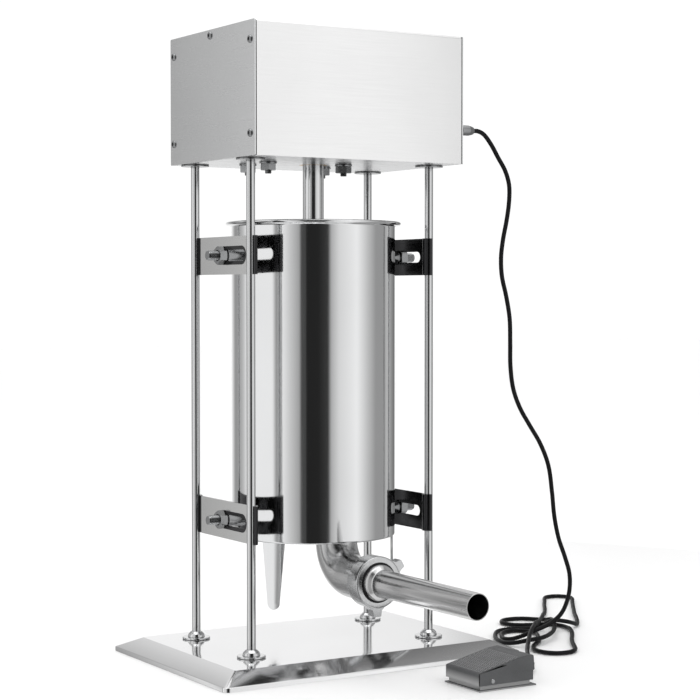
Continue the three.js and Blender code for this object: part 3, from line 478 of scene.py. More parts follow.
FLANGE_FOOT = 18.3
POST_RADIUS = 5.2
WASHER_RADIUS = 17.0
DOME_RADIUS = 10.5
DOME_TOP = FLANGE_FOOT + 2 + 7


def make_posts():
    low = FLANGE_FOOT
    high = HOUSING["low"] - GAP
    post = lathe(fillet([(0, low - 11), (4, low - 11), (4, low), (POST_RADIUS, low), (POST_RADIUS, high),
                         (4, high), (4, high + 11), (0, high + 11)], 0.3, closed=False), 48)
    inner = POST_RADIUS + GAP
    washer = turned_ring(fillet([(inner, low), (WASHER_RADIUS, low), (WASHER_RADIUS, low + 2),
                                 (inner, low + 2)], 0.5, 3))
    dome = turned_ring(fillet([(inner, low + 2.05), (DOME_RADIUS, low + 2.05, 0.3),
                               (DOME_RADIUS - 0.8, low + 5.6, 3), (6.6, DOME_TOP - 0.3, 1),
                               (inner + 0.1, DOME_TOP, 0.2), (inner, DOME_TOP - 1, 0.2)], 0.4, 6))
    top = turned_ring(fillet([(inner, high - 2), (WASHER_RADIUS, high - 2), (WASHER_RADIUS, high),
                              (inner, high)], 0.5, 3))
    for row, y in POST_YS.items():
        for side, sign in SIDES.items():
            at = shift(sign * POST_X, y, 0)
            spot = f"{row}_{side}"
            piece(f"rod_{spot}", [moved(post, at)], POST_STEEL, replaces=[f"post_{spot}"])
            piece(f"foot_{spot}", [moved(washer, at), moved(dome, at)], POST_STEEL,
                  replaces=[f"foot_flange_{spot}"])
            piece(f"washer_{spot}", [moved(top, at)], NUT_STEEL, replaces=[f"top_washer_{spot}"])


# ---- barrel and outlet

OUTLET = {"y": -54.0, "bend": 40.0, "radius": 25.0, "bore": 23.0, "end": -141.0, "ferrule": 27.0}
LEG = {"width": 30.0, "foot": 16.0, "thick": 2.0, "low": 67.0, "angles": (90, 210, 330)}


def leg_form(angle):
    """A strap that follows the barrel's wall, narrows downwards and ends in a half circle."""
    outer = BARREL["radius"] - 2.2
    half = LEG["foot"] / 2
    rows = [(BARREL["low"] + 1, LEG["width"] / 2)]
    for i in range(13):
        turn = math.pi / 2 * i / 12
        rows.append((LEG["low"] + half - half * math.sin(turn), max(half * math.cos(turn), 0.15)))
    loops = []
    columns = [k / 6 for k in range(-6, 7)]
    for z, reach in rows:
        outside = [(outer, reach * k / outer) for k in columns]
        inside = [(outer - LEG["thick"], reach * k / outer) for k in reversed(columns)]
        turn = math.radians(angle)
        loops.append([(r * math.cos(turn + a), r * math.sin(turn + a), z) for r, a in outside + inside])
    return loft(loops)


def thread_profile(radius, start, end, pitch=1.75, depth=0.55):
    profile = []
    height = start
    while height + pitch < end:
        profile += [(radius - depth, height), (radius - 0.08, height + pitch * 0.42),
                    (radius - 0.08, height + pitch * 0.58)]
        height += pitch
    return profile + [(radius - depth, height), (radius - 0.9, end - 0.1), (0, end)]


def stud_form(side, z):
    boss = fillet([(0, 99.2), (9, 99.2), (9, 121.4), (5.4, 121.4)], 0.6, 4, closed=False)
    form = lathe(boss + thread_profile(6, 121.6, 146), 48)
    facing = Matrix.Identity(4) if side > 0 else Matrix.Rotation(math.pi, 4, "Z")
    return moved(form, ON_X, facing, shift(0, 0, z))


def make_barrel():
    radius, low, high, rim = (BARREL[key] for key in ("radius", "low", "high", "rim"))
    inner = radius - BARREL["wall"]
    wall = fillet([
        (radius - 6, low, 0.3), (radius, low, 4), (radius, high - 4.5, 2.5), (rim - 1.5, high - 4.2, 1.5),
        (rim, high - 1.6, 1.4), (rim - 1.6, high, 1.4), (inner + 1.2, high, 2.5), (inner, high - 5, 2),
        (inner, low + 2, 3), (radius - 6, low + 2, 0.3),
    ], 1, 6)
    outlet_hole = circle(OUTLET["bore"], (0, OUTLET["y"]), 48)
    floor = plate(circle(radius - 5, sides=120), low + 0.05, low + 1.95, [outlet_hole])
    piece("barrel_skin", [turned_ring(wall, 160), floor,
                          *(leg_form(angle) for angle in LEG["angles"])],
          MIRROR_STEEL, replaces=["barrel"])
    bore_inner, bore_outer = inner - 0.2, inner - 0.05
    bore = [(bore_inner, low + 2.1), (bore_outer, low + 2.1), (bore_outer, high - 9), (bore_inner, high - 9)]
    piece("barrel_bore", [turned_ring(bore, 160)], BORE_STEEL)
    piece("barrel_studs", [stud_form(side, z) for side in SIDES.values() for z in STUD_ZS.values()],
          NUT_STEEL)


def outlet_section(y, z, tilt, radius, sides=64):
    return [(radius * x, y + radius * across * math.cos(tilt), z - radius * across * math.sin(tilt))
            for x, across in circle(1, sides=sides)]


def make_outlet():
    bend, y, end = OUTLET["bend"], OUTLET["y"], OUTLET["end"]
    line = [(y, BARREL["low"] - GAP, 0.0)]
    for i in range(17):
        tilt = math.pi / 2 * i / 16
        line.append((y - bend + bend * math.cos(tilt), OUTLET_Z + bend - bend * math.sin(tilt), tilt))
    ferrule = [(end + 15.6, OUTLET["radius"]), (end + 15, OUTLET["ferrule"] - 0.5),
               (end + 14.4, OUTLET["ferrule"]), (end + 0.5, OUTLET["ferrule"]),
               (end, OUTLET["ferrule"] - 0.5), (end, OUTLET["bore"] + 0.4), (end + 0.4, OUTLET["bore"])]
    loops = [outlet_section(*spot, OUTLET["radius"]) for spot in line]
    loops += [outlet_section(at, OUTLET_Z, math.pi / 2, radius) for at, radius in ferrule]
    loops += [outlet_section(*spot, OUTLET["bore"]) for spot in reversed(line)]
    piece("elbow_skin", [loft(loops, ring=True)], PIPE_STEEL, replaces=["outlet_elbow"])


# ---- brackets and nuts

BRACKET = {"inner": 122.0, "outer": 124.5, "half": 22.5, "recess": 11.0, "slot": 6.6,
           "slot_front": -46.0, "slot_rear": 1.5, "floor": 123.6}


def saddle_form(side, y):
    """The half round wrap at a post, on the machine's inner side."""
    ring = []
    for radius, steps in ((8.0, range(0, 25)), (POST_RADIUS + GAP, range(24, -1, -1))):
        for i in steps:
            angle = math.pi / 2 + math.pi * i / 24
            ring.append((side * (POST_X + radius * math.cos(angle)), y + radius * math.sin(angle)))
    return plate(ring, -BRACKET["half"], BRACKET["half"])


def make_brackets():
    half = BRACKET["half"]
    clear = POST_RADIUS + 1
    front = POST_YS["front"] + clear
    rear = POST_YS["rear"] - clear
    outline = fillet([(front, -half), (rear, -half), (rear, half), (front, half)], 2.0, 4)
    # The light face stops short of the rear post, so the near-black back plate shows there as a painted dark
    # end by the post.
    bright = fillet([(front + 1, -half), (rear - 8, -half), (rear - 8, half), (front + 1, half)], 1.0, 4)
    recess = obround(BRACKET["recess"], BRACKET["slot_front"], BRACKET["slot_rear"])
    slot = obround(BRACKET["slot"], BRACKET["slot_front"], BRACKET["slot_rear"])
    face = plate(bright, BRACKET["floor"], BRACKET["outer"], [recess])
    back = plate(outline, BRACKET["inner"], BRACKET["floor"], [slot])
    for level, z in STUD_ZS.items():
        for side, sign in SIDES.items():
            across = Matrix.Diagonal((sign, 1, 1, 1))
            piece(f"bracket_face_{level}_{side}", [moved(face, ON_X, across, shift(0, 0, z))],
                  BRACKET_STEEL, bevel=0.25)
            # The back plate and the saddles round the posts take the near-black painted shade.
            forms = [moved(back, ON_X, across, shift(0, 0, z))]
            forms += [moved(saddle_form(sign, y), shift(0, 0, z)) for y in POST_YS.values()]
            piece(f"bracket_painted_shade_{level}_{side}", forms, BRACKET_PAINTED_SHADE, bevel=0.35,
                  replaces=[f"bracket_{level}_{side}"])
            seat = BRACKET["floor"] + GAP
            nut = hex_nut_form(19, 9, 6.3)
            piece(f"nut_{level}_{side}", [moved(nut, ON_X, shift(seat, 0, 0), across, shift(0, 0, z))],
                  NUT_STEEL, body=f"clamp_nut_{level}_{side}", replaces=[f"clamp_nut_{level}_{side}"])


def hex_reach(half, angle):
    """The distance to a hexagon's edge at an angle, where half is the distance to its flats."""
    return half / math.cos((angle + math.pi / 6) % (math.pi / 3) - math.pi / 6)


def hex_nut_form(flats, length, bore):
    """A hexagon nut along Z from 0, with its corners turned off in a shallow cone at both ends."""
    angles = [2 * math.pi * i / 72 for i in range(72)]
    corner_cut = flats / 2 * 1.02
    reaches = [hex_reach(flats / 2, a) for a in angles]
    cuts = [min(reach, corner_cut) for reach in reaches]
    dips = [max(reach - corner_cut, 0) * math.tan(math.radians(30)) for reach in reaches]

    def level(radii, heights):
        return [(r * math.cos(a), r * math.sin(a), z) for r, a, z in zip(radii, angles, heights)]

    def even(number):
        return [number] * len(angles)

    mouth = 0.6
    return loft([
        level(even(bore), even(mouth)), level(even(bore + mouth), even(0)), level(cuts, even(0)),
        level(reaches, dips), level(reaches, [length - dip for dip in dips]), level(cuts, even(length)),
        level(even(bore + mouth), even(length)), level(even(bore), even(length - mouth)),
    ], ring=True)


# ---- nozzle and its nut

UNION = {"front": -149.0, "rear": -127.0, "radius": 30.5, "opening": 23.2, "wall": 2.8,
         "inner": 27.6, "lug": 41.0, "lug_angles": (30, 150, 270)}
NOZZLE = {"flange": 27.0, "neck": 22.8, "root": 15.8, "tip": 15.0, "wall": 1.0, "tip_y": -344.5}


def make_nozzle():
    front, rear, radius, inner = (UNION[key] for key in ("front", "rear", "radius", "inner"))
    ring = turned_ring(fillet([
        (inner, rear, 0.5), (radius, rear, 1.2), (radius, front, 2.2), (UNION["opening"], front, 0.8),
        (UNION["opening"], front + UNION["wall"], 0.4), (inner, front + UNION["wall"], 0.4),
    ], 0.5, 5), 96)
    lug = UNION["lug"]
    wing = fillet([(inner, -12.4, 0), (lug - 8, -6, 5), (lug - 0.6, -5, 2), (lug - 0.6, 5, 2),
                   (lug - 8, 6, 5), (inner, 12.4, 0)], 2, 5)
    forms = [moved(ring, ON_Y, shift(0, 0, OUTLET_Z))]
    for turn in UNION["lug_angles"]:
        lean = Matrix.Rotation(-math.radians(turn), 4, "Y")
        forms.append(moved(plate(wing, 0, 12), ON_Y, shift(0, front + 3, 0), lean,
                           shift(0, 0, OUTLET_Z)))
    piece("union_nut_skin", forms, CAST_STEEL, body="union_nut", replaces=["union_nut"],
          bevel=0.6)
    back = OUTLET["end"] - GAP
    seat = front + UNION["wall"] + GAP
    bore = NOZZLE["tip"] - NOZZLE["wall"]
    outline = fillet([
        (bore + 5, back, 0.5), (NOZZLE["flange"], back, 0.5), (NOZZLE["flange"], seat, 0.4),
        (NOZZLE["neck"], seat, 0.4), (NOZZLE["neck"], front + 0.8, 0.3), (21.6, front + 0.8, 0.2),
        (21.6, front - 1, 1.2), (20.6, front - 5.5, 6),
        (NOZZLE["root"] + 0.3, front - 10, 3), (NOZZLE["tip"], NOZZLE["tip_y"], 0.35),
        (bore, NOZZLE["tip_y"], 0.35), (bore, front - 14, 4),
    ], 0.5, 6)
    piece("nozzle_skin", [moved(turned_ring(outline, 96), ON_Y, shift(0, 0, OUTLET_Z))], PIPE_STEEL,
          body="nozzle", replaces=["nozzle"])
    gasket = turned_ring(fillet([(21.7, front - 0.9), (23.0, front - 0.9), (23.0, front + 0.6),
                                 (21.7, front + 0.6)], 0.3, 3), 96)
    piece("nozzle_gasket", [moved(gasket, ON_Y, shift(0, 0, OUTLET_Z))], BLACK_PLASTIC, body="nozzle")


# ---- piston, rod and rack

ROD = {"radius": 13.0, "low": 169.3, "high": 750.0, "pitch": math.pi * 2.5, "mesh_z": 647.0, "travel": 385.0}


def rack_depth(z):
    """How far the rack's profile lies from the rod's axis at a height: 12.8 on a tooth, 7.2 in a gap."""
    if not ROD["mesh_z"] - ROD["travel"] - 3 * ROD["pitch"] < z < ROD["mesh_z"] + 3 * ROD["pitch"]:
        return ROD["radius"]
    away = abs((z - ROD["mesh_z"] + ROD["pitch"] / 2) % ROD["pitch"] - ROD["pitch"] / 2)
    slope = math.tan(math.radians(20))
    return min(max(10.3 + (away - 2.21) / slope, 7.18), 12.8)


def make_rod():
    heights = [ROD["low"], ROD["low"] + 2]
    z = ROD["low"] + 4
    while z < ROD["high"] - 3:
        heights.append(z)
        z += ROD["pitch"] / 12
    heights.append(ROD["high"] - 2)
    loops = [[(x, min(y, rack_depth(z)), z) for x, y in circle(ROD["radius"], sides=40)] for z in heights]
    loops.append([(x, y, ROD["high"]) for x, y in circle(ROD["radius"] - 2, sides=40)])
    spigot = lathe([(8, ROD["low"] - 12), (8, ROD["low"])], 40)
    piece("rod_skin", [loft(loops), spigot], POST_STEEL, body="piston", replaces=["piston_rod"],
          sharp=30)


def make_piston():
    low, high = 149.0, 169.0
    disc = lathe(fillet([
        (0, low), (94.5, low, 3), (94.5, low + 5, 0.3), (89, low + 5, 0.3), (89, low + 14, 0.3),
        (94.5, low + 14, 0.3), (94.5, low + 16, 1), (88.5, high, 3), (46, high, 1), (44, high - 0.8, 1),
        (30, high - 0.8, 1), (28, high, 1), (0, high),
    ], 0.4, 4, closed=False), 128)
    piece("piston_skin", [disc], POST_STEEL, body="piston", replaces=["piston_plate"])
    seal = turned_ring(fillet([
        (89.3, low + 5.4), (97.2, low + 5.4), (98.2, low + 7, 1), (96.8, low + 9.5, 2), (98.2, low + 12, 1),
        (97.2, low + 13.6), (89.3, low + 13.6),
    ], 0.5, 4), 128)
    piece("seal_skin", [seal], SILICONE, body="piston", replaces=["piston_seal"])
    valve = lathe(fillet([(0, high + 1.2), (4.4, high + 1.2, 0.3), (5, high + 2.6, 0.4), (5, high + 5, 1),
                          (0, high + 5)], 0.4, 4, closed=False), 40)
    collar = fillet([(5.4, high - 0.5), (8, high - 0.5), (8, high + 1), (5.4, high + 1)], 0.3, 3)
    at = shift(-48, 30, 0)
    stem = lathe([(3.1, low + 4), (3.1, high + 1.2)], 24)
    piece("valve_skin", [moved(valve, at), moved(stem, at)], NUT_STEEL, body="air_valve",
          replaces=["air_valve"])
    piece("valve_collar", [moved(turned_ring(collar, 40), at)], POST_STEEL, body="piston")


# ---- housing

COVER_SCREWS = ((-102.5, 623.0), (-102.5, 729.0), (-5.0, 744.0), (90.0, 729.0), (90.0, 623.0))
FLOOR_BOLTS = {"left": -77.0, "right": 28.0}
BOLT_YS = {"front": -25.0, "rear": 25.0}


def make_housing():
    half = HOUSING["half_x"] - HOUSING["sheet"] - 1.1
    front, rear, low, high, sheet = (HOUSING[key] for key in ("front", "rear", "low", "high", "sheet"))
    bend = 4.0
    outer = [(front, low), (front, high, bend), (rear, high, bend), (rear, low)]
    inner = [(rear - sheet, low), (rear - sheet, high - sheet, bend - sheet),
             (front + sheet, high - sheet, bend - sheet), (front + sheet, low)]
    skin = plate(fillet(outer + inner, 0, 8), -half, half)
    shell = piece("housing_skin", [moved(skin, ON_X)], SHEET_STEEL, replaces=["housing_shell"],
                  bevel=0.35)
    cut_out(shell, [moved(lathe([(17.3, high - 10), (17.3, high + 10)], 64)),
                    box_form(78, 106, rear - 5, rear + 5, 628, 650),
                    box_form(30, 44, rear - 5, rear + 5, 628, 650)])
    flanges = []
    for y0, y1 in ((front + sheet + 1, front + 8), (rear - 8, rear - sheet - 1)):
        for sign in SIDES.values():
            flanges.append(box_form(sign * (half - 1.6), sign * (half - 0.1), y0, y1, low + 3.5, high - 3))
    piece("housing_flanges", flanges, SHEET_STEEL, bevel=0.3)
    outline = fillet([(front, low), (rear, low), (rear, high), (front, high)], 1.6, 4)
    for side, sign in SIDES.items():
        inside = HOUSING["half_x"] - sheet
        across = Matrix.Diagonal((sign, 1, 1, 1))
        holes = [circle(GLAND["radius"] + GAP, (GLAND["y"], GLAND["z"]), 32)] if side == "right" else []
        panel = plate(outline, inside, HOUSING["half_x"], holes)
        piece(f"cover_{side}", [moved(panel, ON_X, across)], COVER_STEEL,
              replaces=[f"side_cover_{side}"], bevel=0.45)
        screws = [moved(screw_form(turn), ON_X, shift(HOUSING["half_x"] - 0.1, y, z), across)
                  for turn, (y, z) in zip((0.3, 1.1, 0.7, 0.1, 0.9), COVER_SCREWS)]
        piece(f"cover_screws_{side}", screws, NUT_STEEL, sharp=30)


def side_form(outline, y0, y1, holes=()):
    """An outline in X and Z, pushed along Y."""
    flat = [[(x, -z) for x, z in ring] for ring in (outline, *holes)]
    return moved(plate(flat[0], y0, y1, flat[1:]), ON_Y)


def box_form(x0, x1, y0, y1, z0, z1):
    x0, x1 = min(x0, x1), max(x0, x1)
    return plate([(x0, y0), (x1, y0), (x1, y1), (x0, y1)], z0, z1)


def screw_form(turn):
    """A pan headed screw with a hexagon recess."""
    dome = fillet([(4.6, 0), (4.6, 0.9, 0.4), (3.7, 2.1, 1.2), (2.2, 2.4, 0.3)], 0.3, 4, closed=False)
    angles = [2 * math.pi * i / 36 for i in range(36)]
    recess = [[(hex_reach(half, a) * math.cos(a), hex_reach(half, a) * math.sin(a), z) for a in angles]
              for half, z in ((2.0, 2.35), (1.9, 0.6))]
    return moved(loft(turned_loops(dome, 36) + recess), Matrix.Rotation(turn, 4, "Z"))


def cut_out(target, forms):
    """Cuts the forms out of the piece, and keeps the result as its mesh."""
    points, faces = join_forms(forms)
    mesh = bpy.data.meshes.new("cutter")
    mesh.from_pydata([point * MM for point in points], [], faces)
    mend_normals(mesh)
    cutter = bpy.data.objects.new("cutter", mesh)
    bpy.context.collection.objects.link(cutter)
    modifier = target.modifiers.new("holes", "BOOLEAN")
    modifier.operation = "DIFFERENCE"
    modifier.object = cutter
    target.modifiers.move(len(target.modifiers) - 1, 0)
    edges = target.modifiers.get("edges")
    edges.show_viewport = False
    evaluated = target.evaluated_get(bpy.context.evaluated_depsgraph_get())
    result = bpy.data.meshes.new_from_object(evaluated)
    target.modifiers.remove(modifier)
    edges.show_viewport = True
    target.data = result
    bpy.data.objects.remove(cutter)


def make_floor_bolts():
    under = HOUSING["low"]
    for row, y in BOLT_YS.items():
        for side, x in FLOOR_BOLTS.items():
            at = shift(x, y, 0)
            washer = turned_ring(fillet([(4.2, under - 2.2), (10.5, under - 2.2), (10.5, under - GAP),
                                         (4.2, under - GAP)], 0.4, 3), 48)
            nut = moved(hex_nut_form(17, 8, 4.1), Matrix.Rotation(x + y, 4, "Z"), shift(0, 0, under - 10.2))
            shank = lathe([(0, under - 14), (3.2, under - 14)] + [
                (4 - 0.4 * (i % 2), under - 13.5 + 0.6 * i) for i in range(46)] + [(0, under + 14)], 32)
            head = moved(hex_nut_form(13, 5, 3.5), shift(0, 0, under + 11.6))
            piece(f"floor_bolt_{row}_{side}", [moved(form, at) for form in (washer, nut, shank, head)],
                  NUT_STEEL, replaces=[f"gear_frame_bolt_{row}_{side}"])


def make_gland():
    wall = HOUSING["half_x"]
    tip = wall + GLAND["length"]
    profile = [(0, wall - 12), (5.7, wall - 12), (5.7, wall - 1.6), (6, wall - 1.6), (6, wall + GAP),
               (8.2, wall + GAP), (8.2, wall + 5), (7.6, wall + 6)]
    profile += [(5.6, wall + 6.2), (5.6, wall + 7.2), (6.3, wall + 7.6), (6.3, tip - 7.5),
                (5.2, tip - 2.6, 2), (4.3, tip - 0.3, 0.6), (3.6, tip - 0.2), (0, tip - 0.2)]
    form = lathe(fillet(profile, 0.25, 4, closed=False), 48)
    piece("gland_skin", [moved(form, ON_X, shift(0, GLAND["y"], GLAND["z"]))], NUT_STEEL,
          replaces=["cord_gland"])


def make_switch():
    """The direction switch in the rear panel, and its rocker."""
    rear = HOUSING["rear"]
    room = [(31.4, 629.4), (42.6, 629.4), (42.6, 648.6), (31.4, 648.6)]
    rim = fillet([(28, 625.5), (46, 625.5), (46, 652.5), (28, 652.5)], 2.0, 5)
    well = [(30.4, 628.4), (43.6, 628.4), (43.6, 649.6), (30.4, 649.6)]
    forms = [side_form(rim, rear + GAP, rear + 2.3, [room]), side_form(well, rear - 13, rear + GAP, [room]),
             side_form(well, rear - 14, rear - 13)]
    piece("switch_skin", forms, BLACK_PLASTIC, replaces=["direction_switch"], bevel=0.3)
    outline = fillet([(rear + 4.3, 630.8, 0.8), (rear + 2.9, 639, 12), (rear + 4.3, 647.2, 0.8),
                      (rear - 6, 646.4, 0.5), (rear - 6, 631.6, 0.5)], 0.5, 8)
    piece("rocker_skin", [moved(plate(outline, 32.1, 41.9), ON_X)], BLACK_PLASTIC, body="rocker",
          replaces=["switch_rocker"], bevel=0.3)


def make_inlet_pins():
    rear = HOUSING["rear"]
    pins = [box_form(x - 1, x + 1, rear - 13.8, rear - 3, 637, 641) for x in (85.5, 98.5)]
    pins.append(box_form(91, 93, rear - 13.8, rear - 2, 640, 644))
    piece("inlet_pins", pins, NUT_STEEL, bevel=0.3)


# ---- foot pedal

PEDAL = {"toe": 38.0, "heel": 114.0, "front": -296.0, "rear": -230.0, "toe_z": 20.5, "heel_z": 35.0,
         "knee": 98.0, "skirt": 6.5, "pin_x": 55.8, "pin_z": 10.5, "cord_y": -252.0, "cord_z": 11.0}


def make_pedal():
    toe, heel, knee, skirt = (PEDAL[key] for key in ("toe", "heel", "knee", "skirt"))
    front, rear = PEDAL["front"], PEDAL["rear"]
    slope_end = PEDAL["heel_z"] - 1.2
    outer = [(toe, skirt, 0), (toe, PEDAL["toe_z"], 2), (knee, slope_end, 3),
             (heel - 1.5, PEDAL["heel_z"], 3), (heel, 18, 0.5), (heel - 2, 17, 0.5), (heel - 2, skirt, 0)]
    inner = [(heel - 4, skirt, 0), (heel - 4, 17.6, 0.5), (heel - 3.5, PEDAL["heel_z"] - 2, 2),
             (knee, slope_end - 2, 2), (toe + 2, PEDAL["toe_z"] - 2, 1), (toe + 2, skirt, 0)]
    shell = side_form(fillet(outer + inner, 0, 5), front + 0.2, rear - 0.2)
    wall = fillet(outer, 0, 5)
    walls = [side_form(wall, front, front + 2), side_form(wall, rear - 2, rear)]
    treadle = piece("treadle_skin", [shell, *walls], PEDAL_PAINT, body="treadle",
                    replaces=["pedal_treadle"], bevel=0.7)
    cut_out(treadle, [box_form(heel - 12, heel + 5, PEDAL["cord_y"] - 8, PEDAL["cord_y"] + 8, 0, 23)])
    make_tread(slope_end)
    ear = [box_form(toe + 8, toe + 30, y, y + 1.5, 1, 17) for y in (front + 2.8, rear - 4.3)]
    base = [box_form(toe - 1, heel + 1.5, front - 1, rear + 1, 0.1, 1.6),
            box_form(toe + 4, heel - 5, front + 2.8, rear - 2.8, 1.2, 3),
            box_form(heel - 9, heel - 1, PEDAL["cord_y"] - 6, PEDAL["cord_y"] + 6, 1, PEDAL["cord_z"] + 5)]
    pan = []
    for inset in (2.5, 3.5):
        x0, x1, y0, y1 = toe + inset, heel - 2.4 - inset, front + inset, rear - inset
        pan.append([(x0, y0), (x1, y0), (x1, y1), (x0, y1)])
    base.append(plate(pan[0], 1.5, 9, pan[1:]))
    piece("pedal_base_skin", base + ear, PEDAL_PAINT, replaces=["pedal_base"],
          bevel=0.4)
    pin = fillet([(0, front - 0.8), (2.3, front - 0.8, 0.4), (2.8, front - 0.1, 0.3), (2.8, rear + 0.1, 0.3),
                  (2.3, rear + 0.8, 0.4), (0, rear + 0.8)], 0.3, 3, closed=False)
    piece("pin_skin", [moved(lathe(pin, 40), ON_Y, shift(PEDAL["pin_x"], 0, PEDAL["pin_z"]))], NUT_STEEL,
          replaces=["pedal_pin"])
    profile = [(0, heel - 0.7), (5, heel - 0.7), (5, heel + 3), (4.4, heel + 3.4)]
    for i in range(3):
        at = heel + 4 + i * 3
        profile += [(3.4, at), (3.4, at + 0.9), (4.3 - 0.2 * i, at + 1.2), (4.3 - 0.2 * i, at + 2.7)]
    profile += [(3.3, heel + 13.6), (3, heel + 14), (0, heel + 14)]
    grommet = lathe(fillet(profile, 0.2, 3, closed=False), 40)
    piece("grommet_skin", [moved(grommet, ON_X, shift(0, PEDAL["cord_y"], PEDAL["cord_z"]))], BLACK_PLASTIC,
          replaces=["pedal_grommet"])


SPRING = {"x": 98.0, "y": -254.0, "low": 3.4, "high": 28.9, "radius": 5.1, "wire": 0.75, "turns": 7}


def make_spring():
    """The return spring's coil. Its end turns lie flat."""
    wire = SPRING["wire"]
    low, high = SPRING["low"] + wire, SPRING["high"] - wire
    steps = 24 * SPRING["turns"]
    loops = []
    for i in range(steps + 1):
        share = min(max((i / steps - 0.12) / 0.76, 0), 1)
        height = low + (high - low) * share
        angle = 2 * math.pi * SPRING["turns"] * i / steps
        across = [(SPRING["radius"] + x, height + z) for x, z in circle(wire, sides=10)]
        loops.append([(r * math.cos(angle), r * math.sin(angle), z) for r, z in across])
    spring = piece("spring_skin", [moved(loft(loops), shift(SPRING["x"], SPRING["y"], 0))], NUT_STEEL,
                   replaces=["pedal_spring"])
    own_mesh(spring)


def make_tread(slope_end):
    """Rows of small lozenges on the treadle's slope."""
    toe, knee = PEDAL["toe"] + 4, PEDAL["knee"] - 3
    rise = (slope_end - PEDAL["toe_z"]) / (PEDAL["knee"] - PEDAL["toe"])
    lozenge = [(-1.5, 0), (0, -0.8), (1.5, 0), (0, 0.8)]
    forms = []
    row = 0
    x = toe
    while x < knee:
        y = PEDAL["front"] + 4 + (1.75 if row % 2 else 0)
        turn = Matrix.Rotation(math.pi / 4 * (1 if row % 2 else -1), 4, "Z")
        while y < PEDAL["rear"] - 3:
            z = PEDAL["toe_z"] + rise * (x - PEDAL["toe"])
            lean = Matrix.Rotation(-math.atan(rise), 4, "Y")
            forms.append(moved(plate(lozenge, -0.5, 0.35), turn, lean, shift(x, y, z)))
            y += 3.5
        x += 3.0
        row += 1
    piece("tread", forms, TREAD_PAINT, body="treadle", bevel=0.15)


make_base()
make_posts()
make_barrel()
make_outlet()
make_brackets()
make_nozzle()
make_rod()
make_piston()
make_housing()
make_floor_bolts()
make_gland()
make_switch()
make_inlet_pins()
make_pedal()
make_spring()

# ---- carried-over CAD nodes

CAD_FINISHES = {
    "base_bottom_plate": PLATE_STEEL, "drive_plate": PLATE_STEEL, "pinion_shaft": NUT_STEEL,
    "shaft_bearing": NUT_STEEL, "drive_pinion": GEAR_STEEL, "gear_motor": GEAR_STEEL,
    "rod_guide_lower": BEARING_BRONZE, "rod_guide_upper": BEARING_BRONZE, "gear_frame": CAST_GREY,
    "control_board": BOARD_GREEN, "power_inlet": BLACK_PLASTIC, "pedal_switch": BLACK_PLASTIC,
    "switch_plunger": WHITE_NYLON,
}
for node, material in CAD_FINISHES.items():
    for material_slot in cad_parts[node].material_slots:
        material_slot.material = material

# ---- floor and light


def make_floor():
    mesh = bpy.data.meshes.new("floor")
    reach = 12.0
    mesh.from_pydata([(-reach, -reach, 0), (reach, -reach, 0), (reach, reach, 0), (-reach, reach, 0)], [],
                     [(0, 1, 2, 3)])
    floor = bpy.data.objects.new("floor", mesh)
    paper = Finish("floor_paper", (0.96, 0.96, 0.96), 0, 0.85).tint(3, 0.01).material
    mesh.materials.append(paper)
    floor.visible_glossy = False
    bpy.context.collection.objects.link(floor)


def aim(thing, target):
    thing.rotation_euler = (Vector(target) - thing.location).to_track_quat("-Z", "Y").to_euler()


def make_light(name, place, size, power, target=(0, 0, 0.4)):
    data = bpy.data.lights.new(name, "AREA")
    data.shape = "RECTANGLE"
    data.size, data.size_y = size
    data.energy = power
    light = bpy.data.objects.new(name, data)
    light.location = place
    aim(light, target)
    bpy.context.collection.objects.link(light)


def seen_from(turn, distance, height):
    """A place at an angle in degrees to the right of the camera's line, round the barrel."""
    angle = math.radians(CAMERA_TURN - 90 + turn)
    return (distance * math.cos(angle), distance * math.sin(angle), height)


# What the polished steel sees round the studio: a turn from the camera's line, and a brightness.
STUDIO_RING = (
    (-178, 0.98), (-160, 0.98), (-150, 0.78), (-137, 0.35), (-122, 0.37), (-110, 0.62), (-103, 0.90),
    (-99, 0.50), (-95, 0.11), (-91, 0.25), (-84, 1.0), (-55, 1.0), (-50, 0.36), (-46, 0.36), (-42, 1.0),
    (-30, 0.70), (-17, 0.42), (-15, 0.08), (-8.5, 0.07), (-7.5, 0.02), (8, 0.022), (21, 0.05),
    (25, 0.52), (36, 0.83), (62, 1.05), (80, 0.64), (95, 0.37), (113, 0.36), (124, 0.59), (137, 0.37),
    (155, 0.16), (170, 0.90),
)


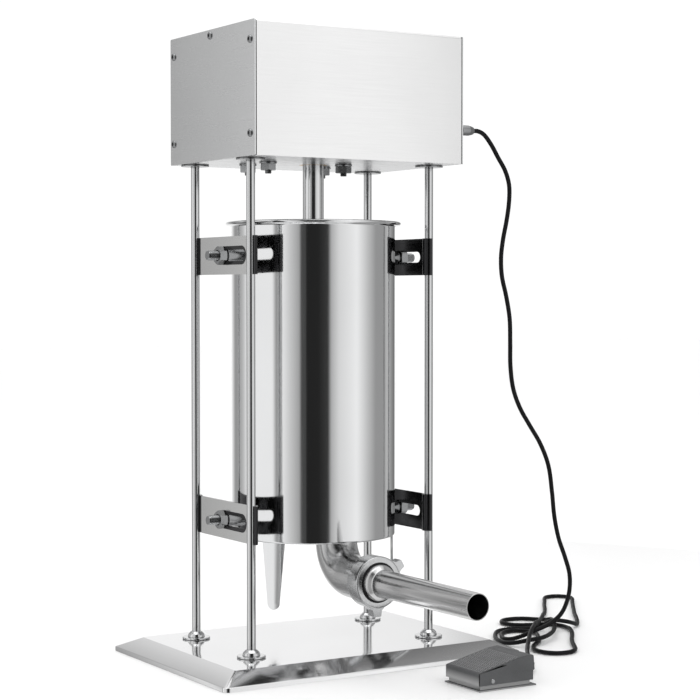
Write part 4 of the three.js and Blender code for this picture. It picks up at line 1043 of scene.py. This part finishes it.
def make_ring(distance=1.1, low=-1.5, high=1.6, sides=180):
    """A round wall of graded light that only shows in reflections."""
    material = bpy.data.materials.new("studio_ring")
    material.use_nodes = True
    nodes, links = material.node_tree.nodes, material.node_tree.links
    nodes.remove(nodes["Principled BSDF"])
    place = nodes.new("ShaderNodeTexCoord")
    gradient = nodes.new("ShaderNodeTexGradient")
    gradient.gradient_type = "RADIAL"
    ramp = nodes.new("ShaderNodeValToRGB")
    glow = nodes.new("ShaderNodeEmission")
    links.new(place.outputs["Object"], gradient.inputs["Vector"])
    links.new(gradient.outputs["Fac"], ramp.inputs["Fac"])
    links.new(ramp.outputs["Color"], glow.inputs["Color"])
    links.new(glow.outputs["Emission"], nodes["Material Output"].inputs["Surface"])
    stops = sorted((((CAMERA_TURN - 90 + turn) / 360 + 0.5) % 1, light) for turn, light in STUDIO_RING)
    elements = ramp.color_ramp.elements
    for at, _ in stops[1:-1]:
        elements.new(at)
    for element, (at, light) in zip(elements, stops):
        element.position = at
        element.color = (light, light, light, 1)
    points = []
    for x, y in circle(distance, sides=sides):
        points += [(x, y, low), (x, y, high)]
    count = len(points)
    faces = [(i, (i + 2) % count, (i + 3) % count, i + 1) for i in range(0, count, 2)]
    mesh = bpy.data.meshes.new("studio_ring")
    mesh.from_pydata(points, [], faces)
    mesh.materials.append(material)
    ring = bpy.data.objects.new("studio_ring", mesh)
    bpy.context.collection.objects.link(ring)
    ring.visible_camera = False
    ring.visible_shadow = False
    ring.visible_diffuse = False


def make_world():
    world = bpy.data.worlds.new("studio")
    world.use_nodes = True
    background = world.node_tree.nodes["Background"]
    background.inputs["Color"].default_value = (1, 1, 1, 1)
    background.inputs["Strength"].default_value = 1.05
    bpy.context.scene.world = world
    bpy.context.scene.view_settings.view_transform = "Standard"


make_floor()
make_world()
make_light("key", seen_from(42, 2.6, 1.5), (1.2, 2.2), 8)
make_light("fill", seen_from(-35, 2.6, 1.2), (0.8, 2.0), 6)
make_light("top", (0, 0, 2.6), (2.0, 2.0), 14)
make_ring()
